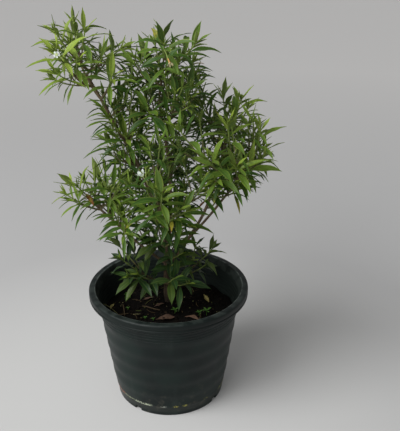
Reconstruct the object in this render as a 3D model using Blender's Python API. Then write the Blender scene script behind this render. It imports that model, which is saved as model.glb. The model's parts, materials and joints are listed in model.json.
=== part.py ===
"""Crape jasmine shrub in a 14-inch nursery pot.

Metres, +Z up. The origin is the centre of the pot's flat base, and +Y points away from the front.
The shrub's wood is one piece, each leafy shoot is one piece that starts at the cut end of its twig,
and every leaf is bent or turned clear of the pieces that it would cross.
"""
import math
import random

import bpy
from mathutils import Vector
from mathutils.bvhtree import BVHTree

CM = 0.01
GAP = 0.0003  # between pieces that touch
UP = Vector((0, 0, 1))
ASIDE = Vector((0.31, 0.95, 0.05))  # a direction that no stem runs along

# Pot
SEGMENTS = 36
POT_HEIGHT = 0.272
LIP_RADIUS = 0.180
LIP_DROP = 0.0195
OPENING_RADIUS = 0.165
WALL = 0.0025
BASE_RADIUS = 0.1245
FLOOR = 0.003
FOOT_TOP = 0.024
FOOT_STEP = 0.0022
FOOT_EDGE = 0.0015
WALL_FOOT_RADIUS = 0.1285
WALL_TOP_RADIUS = 0.1608
WALL_TOP = 0.250
RIB_COUNT = 5
RIB_HEIGHT = 0.0012
RIB_RISE = 0.004
NOTCH_WIDTH = 0.016
NOTCH_HEIGHT = 0.009
NOTCH_DEPTH = 0.014
NOTCH_OUT = 0.006
FIRST_NOTCH_DEG = -124

# Soil
SOIL_TOP = 0.203
SOIL_LUMP = 0.0035
SOIL_MOUND = 0.008
SOIL_RINGS = 4

# Wood, in centimetres: where each limb runs, and its radius at both ends
TRUNK_PLACE = (-0.3, 2.5)
ROOT_DEPTH = 0.075
LIMBS = {
    "trunk": ([(-0.3, 2.5, 20), (-0.6, 2.3, 26), (-0.4, 2, 32.5)], 0.85, 0.62),
    "high_left": (
        [(-0.4, 2, 31), (-1.2, 1.6, 41), (-6, 1, 55), (-9.5, 1, 62), (-13, 0.4, 69.5), (-15.5, 0, 74.5)],
        0.46,
        0.25,
    ),
    "centre": ([(-0.2, 2.2, 31.5), (0.6, 3, 45), (0.2, 3, 56.5), (-1.2, 2, 68), (-0.5, 0.5, 74)], 0.40, 0.22),
    "right": ([(-0.3, 2.2, 30.5), (4.8, 3, 37.5), (8.5, 3.2, 44.5), (11, 4, 53), (13, 4, 60.5)], 0.40, 0.23),
    "far_right": ([(4.4, 2.9, 37), (8.8, 1, 43), (13, -2, 50), (16.5, -3, 55)], 0.30, 0.22),
    "low_left": ([(-0.5, 2, 31), (-6.8, 0, 37.5), (-11.5, -2, 43.5), (-16.5, -2.6, 49)], 0.32, 0.22),
    "front": ([(-0.3, 2, 32), (-0.8, -5, 41), (0, -10, 48)], 0.30, 0.22),
    "back": ([(-0.3, 2.4, 32), (-0.5, 7, 41), (-1, 10.5, 47)], 0.30, 0.22),
}

# Leafy shoots, in centimetres: where each one ends, by the part of the crown that it fills
SHOOT_TIPS = {
    "high_left": [
        (-20.3, -4, 83.5), (-18.3, 5, 84), (-14.3, -5, 84.2), (-19.4, -9.5, 80.6), (-20.8, -4, 75.6),
        (-9.3, -8.2, 76), (-12.5, 3, 78.6), (-8.6, 1, 79.5), (-20, 11, 79), (-7.5, -5, 63), (-12.5, 1.5, 60.5),
        (-10.5, 8, 65),
    ],
    "centre": [
        (0, 0, 82.8), (6.2, -3, 81), (0.6, -10.6, 82), (5.5, -6, 73), (-4.5, 8, 77), (4.5, 9, 70),
        (-3, -7, 69.5), (3, -12, 67), (-4, 14, 68), (-3.4, -10.7, 56.5), (4, 14, 60),
    ],
    "right": [
        (12, 9, 68.3), (15.5, 3, 68.8), (19.5, -2, 64), (20.6, 2, 58.5), (12.5, -7, 66), (8.5, -14, 61.5),
        (14, -12.5, 59.5), (17.5, -7.5, 58), (10.5, 16, 61), (16.5, 12, 60), (10.5, 10.4, 52),
    ],
    "low_left": [(-20, -2, 51.8), (-15.5, 6, 50.5), (-12, -4, 51.5), (-8.5, -6, 45.5), (-9, 13, 47)],
    "front": [(-3, -14, 51), (0, -17, 55.5), (4.5, -14.5, 51)],
    "back": [(-3, 16.5, 52), (4, 15, 48)],
    "basal": [
        (10, 3.5, 34.3), (-10.5, -1, 34), (-6.5, -3, 31), (1.5, -6.5, 32), (3, -2.5, 36), (-3.5, -2.5, 38.5),
    ],
}
WOOD_SIDES = 5
TWIG_SIDES = 4
TWIG_RADIUS = 0.0022
TWIG_FOOT_RADIUS = 0.0030
TWIG_STEPS = 2
SHORTEST_TWIG = 0.055
STEM_LENGTH = 0.056
STEM_SHARE = 0.62
STEM_SIDES = 4
STEM_FOOT_RADIUS = 0.0020
STEM_TIP_RADIUS = 0.0016
STEM_STEPS = 2
TWIG_SAG = 0.10
TWIG_SWAY = 0.05
MORE_SWAY = 0.03  # for each new try at a way that is clear
LOWEST_RISE = 0.6  # a twig that climbs less steeply than this counts as longer
REACH = 0.24  # shoots whose tips are closer than this may meet

# Leaves: in opposite pairs up each shoot, each pair across the one below
PAIR_PLACES = (0.16, 0.40, 0.60, 0.78, 0.92)
PAIR_ANGLES_DEG = (89, 77, 63, 46, 29)
PAIR_DROOPS = (1.25, 1.0, 0.72, 0.45, 0.2)
PAIR_LENGTHS = (0.060, 0.068, 0.066, 0.056, 0.040)
LEAF_RISE = 0.7  # how far a leaf on the lower side of a shoot turns up, from 0 to 1
LEAF_SLIMNESS = 0.120  # half width for a leaf's length
LEAF_FOLD_DEG = 11
LEAF_KEEL = 0.0011
LEAF_WAVE = 0.0011
LEAF_SINK = 0.0010  # how far past the stem's middle line a leaf is rooted
LONG_LEAF = 0.070
LONG_STATIONS = (0, 0.25, 0.52, 0.78, 1)
SHORT_STATIONS = (0, 0.32, 0.68, 1)
CLEARANCE = 0.0005
TRIES = 14
BASAL_SHRINK = 0.86  # the lowest shoots' leaves are smaller

# Blooms: the shoot that each one stands on, where it stands in centimetres, how far its petals reach out,
# and how steeply they rise
BLOOMS = {
    "bloom_centre": ("spray_centre_10", (-4.0, -11.1, 57.0), 0.0080, 1.5),
    "bloom_high_left": ("spray_high_left_04", (-18.6, -12, 80.5), 0.0062, 0.12),
    "bloom_bud": ("spray_centre_03", (1.6, -11.6, 79), 0.0045, 1.6),
}
PETALS = 5
PETAL_THICKNESS = 0.0008
TUBE_LENGTH = 0.010
TUBE_RADIUS = 0.0011
THROAT_RADIUS = 0.0024
STALK_PLACE = 0.72  # how far up the green stem
STALK_TIP_RADIUS = 0.0009
BLOOM_SIDES = 5
PETAL_STAGGER = 0.1  # every other petal rises this much more

# Litter and seedlings on the soil: place in centimetres, heading in degrees and length
DRY_LEAVES = {
    "dry_leaf_1": ((-0.5, -4.4), 20, 0.048),
    "dry_leaf_2": ((5.4, -4.6), 150, 0.042),
}
SEEDLINGS = {"seedling_1": ((8.6, -2.6), 0.014), "seedling_2": ((1.4, -2.6), 0.012)}
SEEDLING_ROOT = 0.010
SEEDLING_RADIUS = 0.0010
DROP_HEIGHT = 0.01

COLOURS = {
    "pot": ((0.012, 0.016, 0.016, 1), 0.42),
    "soil": ((0.006, 0.005, 0.004, 1), 0.95),
    "wood": ((0.13, 0.092, 0.058, 1), 0.85),
    "leaf": ((0.070, 0.145, 0.026, 1), 0.45),
    "petal": ((0.85, 0.86, 0.82, 1), 0.5),
    "dry": ((0.22, 0.11, 0.06, 1), 0.8),
    "sprout": ((0.10, 0.32, 0.05, 1), 0.5),
}


def finish(name, kind):
    """A material of the node's own, in the colour and roughness of its kind."""
    colour, roughness = COLOURS[kind]
    material = bpy.data.materials.new(name)
    material.use_nodes = True
    shader = material.node_tree.nodes["Principled BSDF"]
    shader.inputs["Base Color"].default_value = colour
    shader.inputs["Roughness"].default_value = roughness
    shader.inputs["Metallic"].default_value = 0
    return material


def new_object(name, solid, kind=None):
    """An object from a solid, which is a list of corners and a list of faces."""
    corners, faces = solid
    mesh = bpy.data.meshes.new(name)
    mesh.from_pydata([tuple(c) for c in corners], [], faces)
    mesh.validate()
    made = bpy.data.objects.new(name, mesh)
    bpy.context.scene.collection.objects.link(made)
    if kind:
        mesh.materials.append(finish(name, kind))
    return made


def combine(name, first, others, kind, operation, solver="EXACT"):
    """One object from the first solid and the others, by one Boolean on their collection, applied."""
    body = new_object(name, first, kind)
    group = bpy.data.collections.new(name + "_repeats")
    for i, solid in enumerate(others):
        piece = new_object(f"{name}_repeat_{i}", solid)
        bpy.context.scene.collection.objects.unlink(piece)
        group.objects.link(piece)
    bpy.context.scene.collection.children.link(group)
    joiner = body.modifiers.new("Combine", "BOOLEAN")
    joiner.operation = operation
    joiner.operand_type = "COLLECTION"
    joiner.collection = group
    joiner.solver = solver
    seen = body.evaluated_get(bpy.context.evaluated_depsgraph_get())
    joined = bpy.data.meshes.new_from_object(seen)
    body.modifiers.remove(joiner)
    body.data = joined
    joined.name = name
    joined.materials.clear()
    joined.materials.append(finish(name, kind))
    for piece in list(group.objects):
        bpy.data.objects.remove(piece)
    bpy.data.collections.remove(group)
    return body


def shade(made, sharp_deg=40):
    """Smooth shading, with the edges sharper than the angle left crisp."""
    made.data.shade_smooth()
    made.data.set_sharp_from_angle(angle=math.radians(sharp_deg))


def tree_of(solid):
    """What the overlap tests search."""
    corners, faces = solid
    return BVHTree.FromPolygons(corners, faces)


def turned(profile, segments):
    """A solid turned about Z: the profile runs from the axis, up outside, down inside, to the axis."""
    rim = profile[1:-1]
    corners = [Vector((0, 0, profile[0][1])), Vector((0, 0, profile[-1][1]))]
    for radius, height in rim:
        for k in range(segments):
            turn = 2 * math.pi * k / segments
            corners.append(Vector((radius * math.cos(turn), radius * math.sin(turn), height)))
    faces = []
    last = 2 + (len(rim) - 1) * segments
    for k in range(segments):
        nxt = (k + 1) % segments
        faces.append((0, 2 + nxt, 2 + k))
        faces.append((1, last + k, last + nxt))
        for i in range(len(rim) - 1):
            low = 2 + i * segments
            high = low + segments
            faces.append((low + k, low + nxt, high + nxt, high + k))
    return corners, faces


def wall_radius(height):
    """The outer wall's plain radius at a height."""
    share = (height - FOOT_TOP) / (WALL_TOP - FOOT_TOP)
    return WALL_FOOT_RADIUS + share * (WALL_TOP_RADIUS - WALL_FOOT_RADIUS)


def pot_profile():
    """Flat base, set-in foot, ribbed wall, hollow rolled lip, and the plain inside."""
    outline = [(0, 0), (BASE_RADIUS - FOOT_EDGE, 0), (BASE_RADIUS, FOOT_EDGE)]
    outline += [(WALL_FOOT_RADIUS - FOOT_STEP, FOOT_TOP - FOOT_STEP), (WALL_FOOT_RADIUS, FOOT_TOP)]
    spacing = (WALL_TOP - FOOT_TOP) / (RIB_COUNT + 1)
    for i in range(RIB_COUNT):
        height = FOOT_TOP + spacing * (i + 1)
        outline.append((wall_radius(height - RIB_RISE), height - RIB_RISE))
        outline.append((wall_radius(height) + RIB_HEIGHT, height))
    outline.append((WALL_TOP_RADIUS, WALL_TOP))
    lip_foot = POT_HEIGHT - LIP_DROP
    roof = POT_HEIGHT - 0.0055
    skirt_inside = LIP_RADIUS - WALL
    outline += [(OPENING_RADIUS + 0.9 * WALL, roof), (skirt_inside - 0.0005, roof)]
    outline += [(skirt_inside, lip_foot), (LIP_RADIUS - 0.0006, lip_foot)]
    outline += [(LIP_RADIUS, lip_foot + 0.0045), (LIP_RADIUS - 0.0012, lip_foot + 0.0065)]
    outline += [(LIP_RADIUS, POT_HEIGHT - 0.0045), (LIP_RADIUS - 0.0035, POT_HEIGHT - 0.0006)]
    outline += [(OPENING_RADIUS + 0.0032, POT_HEIGHT), (OPENING_RADIUS, POT_HEIGHT - 0.0035)]
    outline.append((WALL_TOP_RADIUS - WALL, WALL_TOP))
    outline.append((inner_radius(FLOOR), FLOOR))
    outline.append((0, FLOOR))
    return outline


def inner_radius(height):
    """The pot's inside radius at a height, on one straight taper down to the floor."""
    low = BASE_RADIUS - WALL
    high = WALL_TOP_RADIUS - WALL
    return low + (high - low) * (height - FLOOR) / (WALL_TOP - FLOOR)


def block(centre, size, turn):
    """A box round a centre, turned about Z."""
    corners = []
    for x in (-0.5, 0.5):
        for y in (-0.5, 0.5):
            for z in (-0.5, 0.5):
                along, across = x * size[0], y * size[1]
                corners.append(
                    Vector(centre)
                    + Vector(
                        (
                            along * math.cos(turn) - across * math.sin(turn),
                            along * math.sin(turn) + across * math.cos(turn),
                            z * size[2],
                        )
                    )
                )
    faces = [(0, 1, 3, 2), (4, 6, 7, 5), (0, 4, 5, 1), (2, 3, 7, 6), (0, 2, 6, 4), (1, 5, 7, 3)]
    return corners, faces


def make_pot():
    """The pot, with four drain notches through the corner of its base."""
    notches = []
    for k in range(4):
        turn = math.radians(FIRST_NOTCH_DEG + 90 * k)
        middle = BASE_RADIUS + NOTCH_OUT - NOTCH_DEPTH / 2
        centre = (middle * math.cos(turn), middle * math.sin(turn), 0)
        notches.append(block(centre, (NOTCH_DEPTH, NOTCH_WIDTH, 2 * NOTCH_HEIGHT), turn))
    pot = combine("pot", turned(pot_profile(), SEGMENTS), notches, "pot", "DIFFERENCE")
    shade(pot, 30)


def soil_height(x, y):
    """The lumpy soil surface, a little higher round the trunk."""
    lumps = math.sin(47 * x + 1.3) * math.cos(39 * y - 0.4) + 0.6 * math.sin(88 * x - 71 * y)
    trunk_x, trunk_y = (v * CM for v in TRUNK_PLACE)
    away = math.hypot(x - trunk_x, y - trunk_y)
    return SOIL_TOP + SOIL_LUMP * lumps + SOIL_MOUND * math.exp(-((away / 0.05) ** 2))


def soil_solid():
    """Soil that fills the pot, with rings of corners on its top that follow soil_height."""
    low = FLOOR + GAP
    side = 1.5 * GAP
    rim_height = SOIL_TOP - 2 * SOIL_LUMP
    profile = [(0, low), (inner_radius(low) - side, low), (inner_radius(rim_height) - side, rim_height)]
    edge = inner_radius(SOIL_TOP) - 2 * side - 0.002
    for i in range(SOIL_RINGS):
        profile.append((edge * (1 - i / SOIL_RINGS), SOIL_TOP))
    profile.append((0, SOIL_TOP))
    corners, faces = turned(profile, SEGMENTS)
    first_top = 2 + 2 * SEGMENTS
    for i, corner in enumerate(corners):
        if i == 1 or i >= first_top:
            corner.z = soil_height(corner.x, corner.y)
    return corners, split(faces)


def split(faces):
    """The faces, with each four-sided one cut into two triangles."""
    cut = []
    for face in faces:
        if len(face) == 4:
            cut += [(face[0], face[1], face[2]), (face[0], face[2], face[3])]
        else:
            cut.append(face)
    return cut


def tube(points, radii, sides, ends=(None, None), grow=0.0, side=None):
    """A closed tube along the points, with a flat cap at each end, square to the end directions."""
    corners, faces = [], []
    last = len(points) - 1
    for i, point in enumerate(points):
        along = points[min(i + 1, last)] - points[max(i - 1, 0)]
        if i == 0 and ends[0]:
            along = ends[0]
        if i == last and ends[1]:
            along = ends[1]
        along = along.normalized()
        if side is None:
            side = along.cross(ASIDE).normalized()
        side = (side - along * side.dot(along)).normalized()
        other = along.cross(side)
        for k in range(sides):
            turn = 2 * math.pi * k / sides
            reach = side * math.cos(turn) + other * math.sin(turn)
            corners.append(point + reach * (radii[i] + grow))
    for i in range(last):
        for k in range(sides):
            nxt = (k + 1) % sides
            a, b = i * sides + k, i * sides + nxt
            faces.append((a, b, b + sides, a + sides))
    faces.append(tuple(reversed(range(sides))))
    faces.append(tuple(last * sides + k for k in range(sides)))
    return corners, faces


def through(points, per_span):
    """A smooth curve through the points, as Vectors."""
    points = [Vector(p) for p in points]
    padded = [2 * points[0] - points[1]] + points + [2 * points[-1] - points[-2]]
    curve = []
    for i in range(len(points) - 1):
        a, b, c, d = padded[i : i + 4]
        for k in range(per_span):
            t = k / per_span
            curve.append(
                0.5 * (2 * b + (c - a) * t + (2 * a - 5 * b + 4 * c - d) * t**2 + (3 * b - a - 3 * c + d) * t**3)
            )
    curve.append(points[-1])
    return curve


def limb_course(name):
    """A limb's points in metres and its radius at each."""
    points, foot, tip = LIMBS[name]
    curve = through([Vector(p) * CM for p in points], 2)
    last = len(curve) - 1
    return curve, [CM * (foot + (tip - foot) * i / last) for i in range(last + 1)]


def bend(a, b, c, t):
    """A point and its direction on the curve from a to c that leaves towards b."""
    point = a * (1 - t) ** 2 + b * 2 * t * (1 - t) + c * t**2
    return point, ((b - a) * (1 - t) + (c - b) * t).normalized()


class Shoot:
    """One twig: wood from the limb, then the green stem that carries the leaves."""

    def __init__(self, name, foot, knee, tip):
        self.name = name
        self.foot, self.knee, self.tip = foot, knee, tip
        length = (knee - foot).length + (tip - knee).length
        self.cut = 1 - min(STEM_LENGTH / length, STEM_SHARE)
        self.length = length
        self.side = (tip - foot).cross(ASIDE).normalized()

    def at(self, t):
        """A point and direction on the twig, with t from 0 at the limb to 1 at the tip."""
        return bend(self.foot, self.knee, self.tip, t)

    def stem_spots(self):
        """The points and directions that the green stem runs through."""
        start = self.cut + 1.3 * GAP / self.length
        return [self.at(start + (1 - start) * i / STEM_STEPS) for i in range(STEM_STEPS + 1)]

    def on_stem(self, share):
        """A point on the green stem's middle line and the direction there, with share from 0 to 1."""
        spots = self.stem_spots()
        span = min(int(share * STEM_STEPS), STEM_STEPS - 1)
        part = share * STEM_STEPS - span
        (low, low_way), (high, high_way) = spots[span], spots[span + 1]
        return low.lerp(high, part), low_way.lerp(high_way, part).normalized()

    def wood(self):
        """The woody part as a solid."""
        spots = [self.at(self.cut * i / TWIG_STEPS) for i in range(TWIG_STEPS + 1)]
        radii = [
            TWIG_FOOT_RADIUS + (TWIG_RADIUS - TWIG_FOOT_RADIUS) * i / TWIG_STEPS for i in range(TWIG_STEPS + 1)
        ]
        ends = (spots[0][1], spots[-1][1])
        return tube([p for p, _ in spots], radii, TWIG_SIDES, ends, 0.0, self.side)

    def stem(self, grow=0.0):
        """The green stem as a solid."""
        spots = self.stem_spots()
        radii = [
            STEM_FOOT_RADIUS + (STEM_TIP_RADIUS - STEM_FOOT_RADIUS) * i / STEM_STEPS
            for i in range(STEM_STEPS + 1)
        ]
        ends = (spots[0][1], spots[-1][1])
        return tube([p for p, _ in spots], radii, STEM_SIDES, ends, grow, self.side)


def best_foot(tip, wood_places):
    """The place on the wood that suits a twig to the tip: near it and well below it."""
    best, least = None, 1e9
    for place in wood_places:
        reach = tip - place
        length = reach.length
        if length < SHORTEST_TWIG:
            continue
        cost = length * (1 + 1.8 * max(0, LOWEST_RISE - reach.z / length))
        if cost < least:
            best, least = place, cost
    return best


def grow_shoots():
    """Every twig, nearest the trunk first, each with its foot on a limb or on an earlier twig."""
    wood_places, wood_trees, stem_trees = [], [], []
    for name in LIMBS:
        curve, radii = limb_course(name)
        start = 2 if name == "trunk" else 1
        wood_places += curve[start:]
        wood_trees.append(tree_of(tube(curve, radii, WOOD_SIDES)))
    wanted = []
    for part, tips in SHOOT_TIPS.items():
        for i, tip in enumerate(tips):
            wanted.append((f"spray_{part}_{i + 1:02d}", Vector(tip) * CM, part))
    wanted.sort(key=lambda w: (best_foot(w[1], wood_places) - w[1]).length)
    shoots = []
    for name, tip, part in wanted:
        foot = best_foot(tip, wood_places)
        reach = tip - foot
        dice = random.Random("twig of " + name)
        for attempt in range(TRIES):
            sway = Vector((dice.uniform(-1, 1), dice.uniform(-1, 1), dice.uniform(-1, 0.4)))
            swing = TWIG_SWAY + MORE_SWAY * attempt
            knee = foot + reach * 0.52 + (sway * swing - UP * TWIG_SAG) * reach.length
            shoot = Shoot(name, foot, knee, tip)
            stem_tree = tree_of(shoot.stem(CLEARANCE))
            wood_tree = tree_of(shoot.wood())
            crossed = any(stem_tree.overlap(tree) for tree in wood_trees + stem_trees)
            if not crossed and not any(wood_tree.overlap(tree) for tree in stem_trees):
                break
        else:
            print("no clear way for", name)
        shoots.append(shoot)
        wood_trees.append(wood_tree)
        stem_trees.append(stem_tree)
        for i in range(1, TWIG_STEPS):
            wood_places.append(shoot.at(shoot.cut * i / TWIG_STEPS)[0])
    return shoots


class Leaf:
    """One blade: where it starts, which way it sets out, how far it droops, and its size."""

    def __init__(self, start, along, out, angle, droop, length, roll, wave):
        self.start = start
        self.first = (along * math.cos(angle) + out * math.sin(angle)).normalized()
        self.across = along.cross(out).normalized()
        self.droop = droop
        self.length = length
        self.roll = roll
        self.wave = wave

    def sections(self, stations):
        """At each station: the midrib point, the sideways and upward directions and the half width."""
        made = []
        point = self.start.copy()
        before = 0.0
        for share in stations:
            middle = (before + share) / 2
            heading = (self.first - UP * self.droop * middle**1.5).normalized()
            point = point + heading * self.length * (share - before)
            heading = (self.first - UP * self.droop * share**1.5).normalized()
            botanic = heading.cross((self.across - heading * self.across.dot(heading)).normalized())
            level = UP - heading * UP.dot(heading)
            face = (botanic * 0.6 + level * 0.7).normalized()
            side = face.cross(heading)
            face, side = (
                face * math.cos(self.roll) + side * math.sin(self.roll),
                side * math.cos(self.roll) - face * math.sin(self.roll),
            )
            outline = math.sin(math.pi * share**0.85) if 0 < share < 1 else 0.0
            half = LEAF_SLIMNESS * self.length * max(outline, 0.0) ** 1.1
            made.append((point.copy(), side, face, half))
            before = share
        return made

    def stations(self):
        """More stations on a long leaf than on a short one."""
        return LONG_STATIONS if self.length > LONG_LEAF else SHORT_STATIONS

    def solid(self, grow=0.0, sink=0.0):
        """A thin blade with a flat top, a keel under its midrib, waved edges and a sunk root."""
        fold = math.radians(LEAF_FOLD_DEG)
        sections = self.sections(self.stations())
        corners = [self.start - self.first * sink]
        for i, (point, side, face, half) in enumerate(sections[1:-1]):
            lift = self.wave * LEAF_WAVE * (1 if i % 2 else -1)
            out = half * math.cos(fold) + grow
            rise = half * math.sin(fold) + grow
            corners.append(point + side * out + face * (rise + lift))
            corners.append(point - side * out + face * (rise - lift))
            corners.append(point - face * (LEAF_KEEL + grow))
        corners.append(sections[-1][0])
        return corners, blade_faces(corners, [face for _, _, face, _ in sections[1:-1]])


def blade_faces(corners, up_ways):
    """The faces of a blade: a point, rings of right edge, left edge and keel, and the tip."""
    tip = len(corners) - 1
    faces = []
    for k in range(3):
        nxt = (k + 1) % 3
        faces.append((0, 1 + nxt, 1 + k))
        faces.append((tip - 3 + k, tip - 3 + nxt, tip))
        for ring, a in enumerate(range(1, tip - 3, 3)):
            out = up_ways[ring] + up_ways[ring + 1]
            faces += cut_outwards((a + k, a + nxt, a + nxt + 3, a + k + 3), corners, -out if k else out)
    return faces


def cut_outwards(quad, corners, out):
    """A four-sided face as two triangles, cut along the diagonal that lies further out.

    Cut so, the top and the underside of a thin twisted blade never pass through each other.
    """
    a, b, c, d = quad
    if (corners[a] + corners[c]).dot(out) >= (corners[b] + corners[d]).dot(out):
        return [(a, b, c), (a, c, d)]
    return [(a, b, d), (b, c, d)]


def leaves_of(shoot, near, shrink):
    """The shoot's leaves, each turned, bent or shortened until it is clear, or else left out."""
    dice = random.Random("leaves of " + shoot.name)
    own, kept = [], []
    for pair, place in enumerate(PAIR_PLACES):
        point, along = shoot.on_stem(place)
        side = (shoot.side - along * shoot.side.dot(along)).normalized()
        other = along.cross(side)
        for half_turn in (0, 1):
            turn = math.pi / 4 + pair * math.pi / 2 + half_turn * math.pi
            length = PAIR_LENGTHS[pair] * dice.uniform(0.84, 1.12) * shrink
            angle = math.radians(PAIR_ANGLES_DEG[pair] + dice.uniform(-9, 9))
            droop = PAIR_DROOPS[pair] * dice.uniform(0.7, 1.25)
            roll = math.radians(dice.uniform(-16, 16))
            wave = dice.choice((-1, 1))
            for attempt in range(TRIES):
                swing = turn + dice.uniform(-0.03, 0.03) * (attempt + 1)
                out = side * math.cos(swing) + other * math.sin(swing)
                out = (out + UP * LEAF_RISE * max(0.0, -out.z)).normalized()
                lift = angle + math.radians(dice.uniform(-4, 4)) * attempt
                leaf = Leaf(
                    point + out * 0.0003,
                    along,
                    out,
                    lift,
                    droop * (1 - 0.04 * attempt),
                    length * (1 - 0.03 * attempt),
                    roll,
                    wave,
                )
                whole = tree_of(leaf.solid(CLEARANCE))
                blade = tree_of(leaf.solid())
                if any(whole.overlap(tree) for tree in near):
                    continue
                if any(blade.overlap(tree) for tree in own):
                    continue
                own.append(blade)
                kept.append(leaf)
                break
    return kept


def petal_solid(start, along, out, length, slant):
    """A thin four-cornered petal, wider to one side as on a pinwheel."""
    across = along.cross(out).normalized()
    outline = ((0, 0.10), (0.62, 0.42), (1.0, 0.05), (0.55, -0.26))
    corners = []
    thick = PETAL_THICKNESS * math.hypot(1, slant)
    for face in (thick / 2, -thick / 2):
        for share, edge in outline:
            rise = slant * share - 0.22 * share**2
            corners.append(start + out * length * share + across * length * edge + along * (length * rise + face))
    faces = [(3, 2, 1), (3, 1, 0), (5, 6, 7), (4, 5, 7)]
    for k in range(4):
        nxt = (k + 1) % 4
        faces += [(k, nxt, nxt + 4), (k, nxt + 4, k + 4)]
    return corners, faces


def bloom_axis(name, shoots):
    """Where a bloom's stalk leaves its shoot, the bloom's place and the way it faces."""
    shoot_name, place, _, _ = BLOOMS[name]
    shoot = next(s for s in shoots if s.name == shoot_name)
    foot, _ = shoot.on_stem(STALK_PLACE)
    place = Vector(place) * CM
    return foot, place, (place - foot).normalized()


def stalk_solid(name, shoots, grow=0.0):
    """A bloom's green stalk, which belongs to its shoot."""
    foot, place, facing = bloom_axis(name, shoots)
    ends = [foot, place - facing * TUBE_LENGTH]
    return tube(ends, [TUBE_RADIUS, STALK_TIP_RADIUS], BLOOM_SIDES, (facing, facing), grow)


def bloom_solids(name, shoots):
    """The tube, which flares into the throat, and the petals round it."""
    _, place, facing = bloom_axis(name, shoots)
    _, _, size, steepness = BLOOMS[name]
    start = place - facing * (TUBE_LENGTH - 1.3 * GAP)
    points = [start, start + facing * TUBE_LENGTH * 0.7, place + facing * 0.0008]
    radii = [TUBE_RADIUS, 1.2 * TUBE_RADIUS, THROAT_RADIUS]
    solids = [tube(points, radii, BLOOM_SIDES, (facing, facing))]
    side = facing.cross(UP).normalized()
    other = facing.cross(side)
    for k in range(PETALS):
        turn = 2 * math.pi * k / PETALS + 0.3
        out = side * math.cos(turn) + other * math.sin(turn)
        slant = steepness + PETAL_STAGGER * (k % 2)
        root = place - facing * 0.0003 + out * 0.0012 + facing * 0.0001 * k
        solids.append(petal_solid(root, facing, out, size, slant))
    return solids


def settle(corners, faces, floor_tree):
    """The corners lowered onto the soil until they lie just clear of it."""
    step = UP * 0.0002
    while not BVHTree.FromPolygons([c - step for c in corners], faces).overlap(floor_tree):
        corners = [c - step for c in corners]
    return [c + step / 2 for c in corners]


def dry_leaf(name, floor_tree):
    """A dead leaf that lies along the soil's lumps."""
    (x, y), heading, length = DRY_LEAVES[name]
    turn = math.radians(heading)
    out = Vector((math.cos(turn), math.sin(turn), 0))
    start = Vector((x * CM, y * CM, 0)) - out * length / 2
    leaf = Leaf(start, UP, out, math.radians(88), 0.1, length, 0, 1)
    corners, _ = leaf.solid()
    laid = [c + UP * (soil_height(c.x, c.y) + DROP_HEIGHT) for c in corners]
    faces = blade_faces(laid, [UP] * (len(laid) // 3))
    return settle(laid, faces, floor_tree), faces


def seedling_course(name):
    """A seedling's stem, from its root end to its tip."""
    (x, y), height = SEEDLINGS[name]
    x, y = x * CM, y * CM
    ground = soil_height(x, y)
    return [Vector((x, y, ground - SEEDLING_ROOT)), Vector((x, y, ground)), Vector((x, y, ground + height))]


def seedling_solids(name):
    """A sprout: its stem and two pairs of small leaves."""
    course = seedling_course(name)
    height = SEEDLINGS[name][1]
    solids = [tube([course[0], course[2]], [SEEDLING_RADIUS, 0.8 * SEEDLING_RADIUS], 4)]
    for k in range(4):
        turn = k * math.pi / 2 + 0.5
        out = Vector((math.cos(turn), math.sin(turn), 0))
        start = course[1] + UP * height * (0.75 if k % 2 else 0.93) + out * 0.0002
        leaf = Leaf(start, UP, out, math.radians(62), 0.3, height * 0.95, 0, 1)
        solids.append(leaf.solid())
    return solids


def make_soil():
    """Soil with a plain hole for the trunk and for each seedling."""
    cutters = [tube(*root_course(GAP * 1.3), WOOD_SIDES, (UP, None), GAP * 1.3)]
    for name in SEEDLINGS:
        low, ground, tip = seedling_course(name)
        cutters.append(tube([low - UP * GAP, ground, tip], [SEEDLING_RADIUS + 1.3 * GAP] * 3, 5))
    soil = combine("soil", soil_solid(), cutters, "soil", "DIFFERENCE")
    shade(soil, 60)
    return soil


def root_course(deeper=0.0):
    """The trunk and its root end, which stands in the soil, with the radius at each point."""
    curve, radii = limb_course("trunk")
    foot = Vector((curve[0].x, curve[0].y, SOIL_TOP - ROOT_DEPTH - deeper))
    return [foot] + curve, [radii[0]] + radii


def make_wood(shoots):
    """The trunk, its limbs and every twig, fused as they grew."""
    others = []
    for name in LIMBS:
        if name != "trunk":
            curve, radii = limb_course(name)
            others.append(tube(curve, radii, WOOD_SIDES))
    others += [shoot.wood() for shoot in shoots]
    wood = combine("woody_stems", tube(*root_course(), WOOD_SIDES, (UP, None)), others, "wood", "UNION")
    shade(wood)


def make_sprays(shoots, still_trees):
    """Each shoot's green stem and leaves, fused, and clear of all the others."""
    bloomers = {BLOOMS[name][0]: name for name in BLOOMS}
    stems = {s.name: tree_of(s.stem(CLEARANCE)) for s in shoots}
    kept_trees = {}
    for shoot in shoots:
        near = list(still_trees)
        for other in shoots:
            if other is not shoot and (other.tip - shoot.tip).length < REACH:
                near.append(stems[other.name])
                near += kept_trees.get(other.name, [])
        for bloom in BLOOMS:
            near += [tree_of(s) for s in bloom_solids(bloom, shoots)]
            near.append(tree_of(stalk_solid(bloom, shoots, CLEARANCE)))
        basal = shoot.name.startswith("spray_basal")
        leaves = leaves_of(shoot, near, BASAL_SHRINK if basal else 1)
        kept_trees[shoot.name] = [tree_of(leaf.solid()) for leaf in leaves]
        solids = [leaf.solid(sink=LEAF_SINK) for leaf in leaves]
        if shoot.name in bloomers:
            solids.append(stalk_solid(bloomers[shoot.name], shoots))
        spray = combine(shoot.name, shoot.stem(), solids, "leaf", "UNION", "MANIFOLD")
        shade(spray)


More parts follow.
